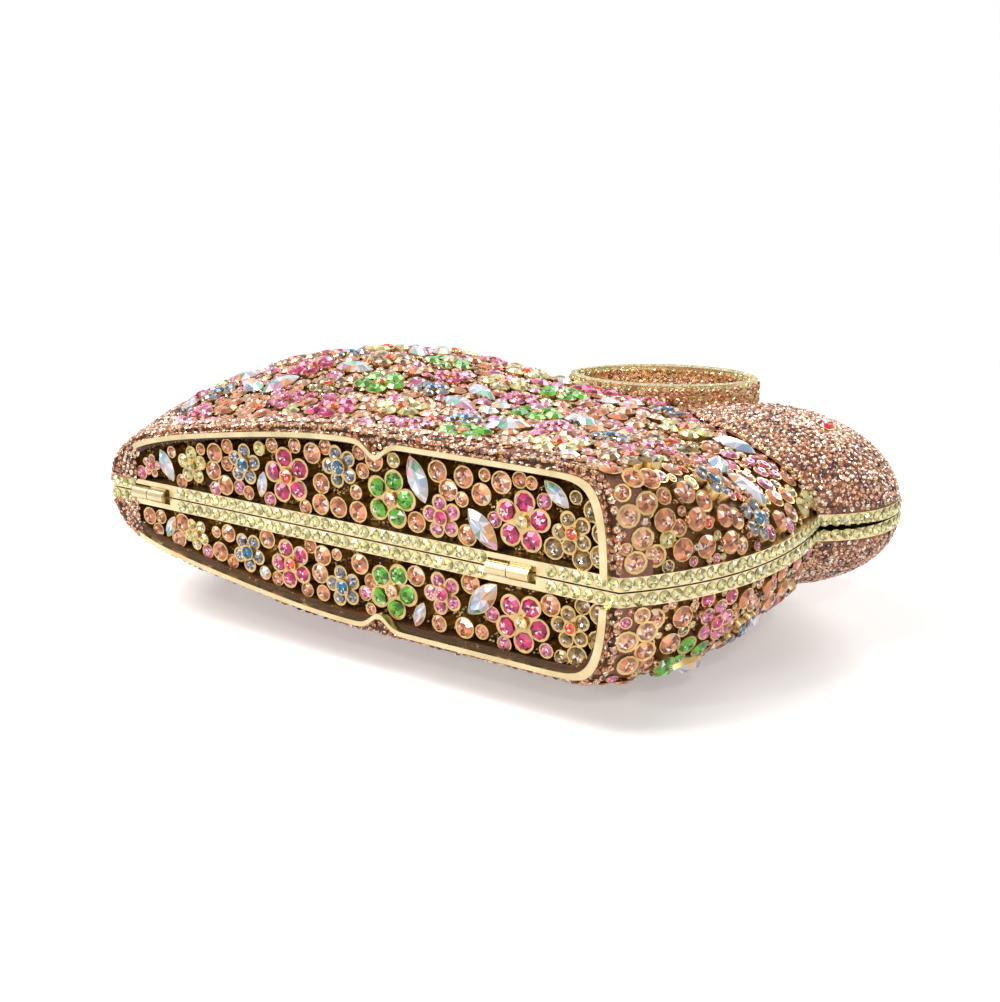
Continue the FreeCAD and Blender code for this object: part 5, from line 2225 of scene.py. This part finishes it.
@dataclass(frozen=True)
class Lamp:
    """A square soft lamp. Place and size in metres, power in watts."""

    name: str
    place: Place
    size: float
    power: float

    def hang(self, target: Place) -> None:
        """Hangs the lamp, facing a target.

        Args:
            target: The point it faces.
        """
        lamp = bpy.data.lights.new(self.name, "AREA")
        lamp.size = self.size
        lamp.energy = self.power
        holder = bpy.data.objects.new(self.name, lamp)
        bpy.context.scene.collection.objects.link(holder)
        aim(holder, self.place, target)


@dataclass
class Studio:
    """Floor, light and camera. Places and sizes in metres."""

    camera_place: Place = (0.1590, -0.2357, 0.1045)
    camera_target: Place = (0.01212, -0.01039, 0.026)
    lens: float = 48.5
    sensor: float = 36.0
    clip_start: float = 0.01
    lamp_target: Place = (0.01, 0, 0.02)
    lamps: tuple[Lamp, ...] = (
        Lamp("key", (-0.35, -0.25, 0.75), size=0.5, power=7.4),
        Lamp("fill", (0.65, -0.55, 0.45), size=0.5, power=1.4),
        Lamp("back", (0.2, 0.7, 0.6), size=0.6, power=6.0),
        Lamp("spark_left", (-0.25, -0.7, 0.35), size=0.05, power=0.9),
        Lamp("spark_right", (0.45, -0.6, 0.5), size=0.05, power=0.9),
    )
    floor_size: float = 4.0
    floor_drop: float = 0.0004
    floor_colour: Colour = (0.87, 0.845, 0.83)
    floor_glow: float = 0.33
    fade_start: float = 0.12
    fade_end: float = 0.38
    surround: float = 0.22

    def build(self) -> None:
        """Builds the stage."""
        self._camera()
        self._floor()
        self._world()
        for lamp in self.lamps:
            lamp.hang(self.lamp_target)
        bpy.context.scene.view_settings.view_transform = "Standard"
        log.info("stage: %d lamps", len(self.lamps))

    def _camera(self) -> None:
        """Sets the camera at the photograph's angle."""
        camera = bpy.data.objects.new("camera", bpy.data.cameras.new("camera"))
        bpy.context.scene.collection.objects.link(camera)
        aim(camera, self.camera_place, self.camera_target)
        camera.data.lens = self.lens
        camera.data.sensor_width = self.sensor
        camera.data.clip_start = self.clip_start
        bpy.context.scene.camera = camera

    @staticmethod
    def _shown(tree: bpy.types.NodeTree) -> bpy.types.NodeSocket:
        """A value that is 1 for the rays that show the background: camera, glossy and transmission rays.

        Args:
            tree: The nodes of the floor's material or of the world.

        Returns:
            The socket that holds the value.
        """
        path = add_node(tree, "LightPath", {}).outputs
        shown = path["Is Camera Ray"]
        for word in ("Is Glossy Ray", "Is Transmission Ray"):
            shown = add_node(tree, "Math", {0: shown, 1: path[word]}, operation="MAXIMUM").outputs["Value"]
        return shown

    def _floor(self) -> None:
        """Lays a white floor that keeps the shadow near the case and fades to plain white around it."""
        deselect()
        bpy.ops.mesh.primitive_plane_add(size=self.floor_size, location=(0, 0, -self.floor_drop))
        floor = bpy.context.active_object
        floor.name = "floor"
        material = bpy.data.materials.new("white_floor")
        material.use_nodes = True
        tree = material.node_tree
        tree.nodes.clear()
        shown = self._shown(tree)
        matt = add_node(tree, "BsdfDiffuse", {"Color": (*self.floor_colour, 1.0)})
        level = add_node(tree, "Math", {0: shown, 1: self.floor_glow}, operation="MULTIPLY")
        glow = add_node(tree, "Emission", {"Strength": level.outputs["Value"]})
        near = add_node(tree, "AddShader", {0: matt.outputs["BSDF"], 1: glow.outputs["Emission"]})
        place = add_node(tree, "TexCoord", {})
        away = add_node(tree, "VectorMath", {}, operation="LENGTH")
        wire(tree, away, {0: place.outputs["Object"]})
        fade = add_node(tree, "MapRange", {"Value": away.outputs["Value"], "From Min": self.fade_start,
                                           "From Max": self.fade_end}, interpolation_type="SMOOTHSTEP")
        share = add_node(tree, "Math", {0: fade.outputs["Result"], 1: shown}, operation="MULTIPLY")
        far = add_node(tree, "Emission", {"Strength": 1.0})
        mix = add_node(tree, "MixShader", {"Fac": share.outputs["Value"], 1: near.outputs["Shader"],
                                           2: far.outputs["Emission"]})
        add_node(tree, "OutputMaterial", {"Surface": mix.outputs["Shader"]})
        floor.data.materials.append(material)

    def _world(self) -> None:
        """Surrounds the stage with white that lights it only a little."""
        world = bpy.data.worlds.new("studio")
        bpy.context.scene.world = world
        world.use_nodes = True
        tree = world.node_tree
        level = add_node(tree, "MapRange", {"Value": self._shown(tree), "To Min": self.surround,
                                            "To Max": 1.0})
        wire(tree, tree.nodes["Background"], {"Strength": level.outputs["Result"],
                                              "Color": (1.0, 1.0, 1.0, 1.0)})


def main() -> None:
    """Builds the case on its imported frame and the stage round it."""
    logging.basicConfig(level=logging.INFO, format="%(message)s")
    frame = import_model()
    place = CasePlace.read(frame["joints"])
    finishes = Finishes()
    cuts = Cuts()
    for side in Side:
        half = Half(side, place, cuts, finishes)
        half.dress_nodes()
        for part in (Flank, BaseRecess, BaseBand, Head, Ear, Eye, RimRow, Lining):
            part(half).build()
        log.info("%s half dressed", side.word)
    Hardware(finishes).build()
    Studio().build()


if __name__ == "__main__":
    main()
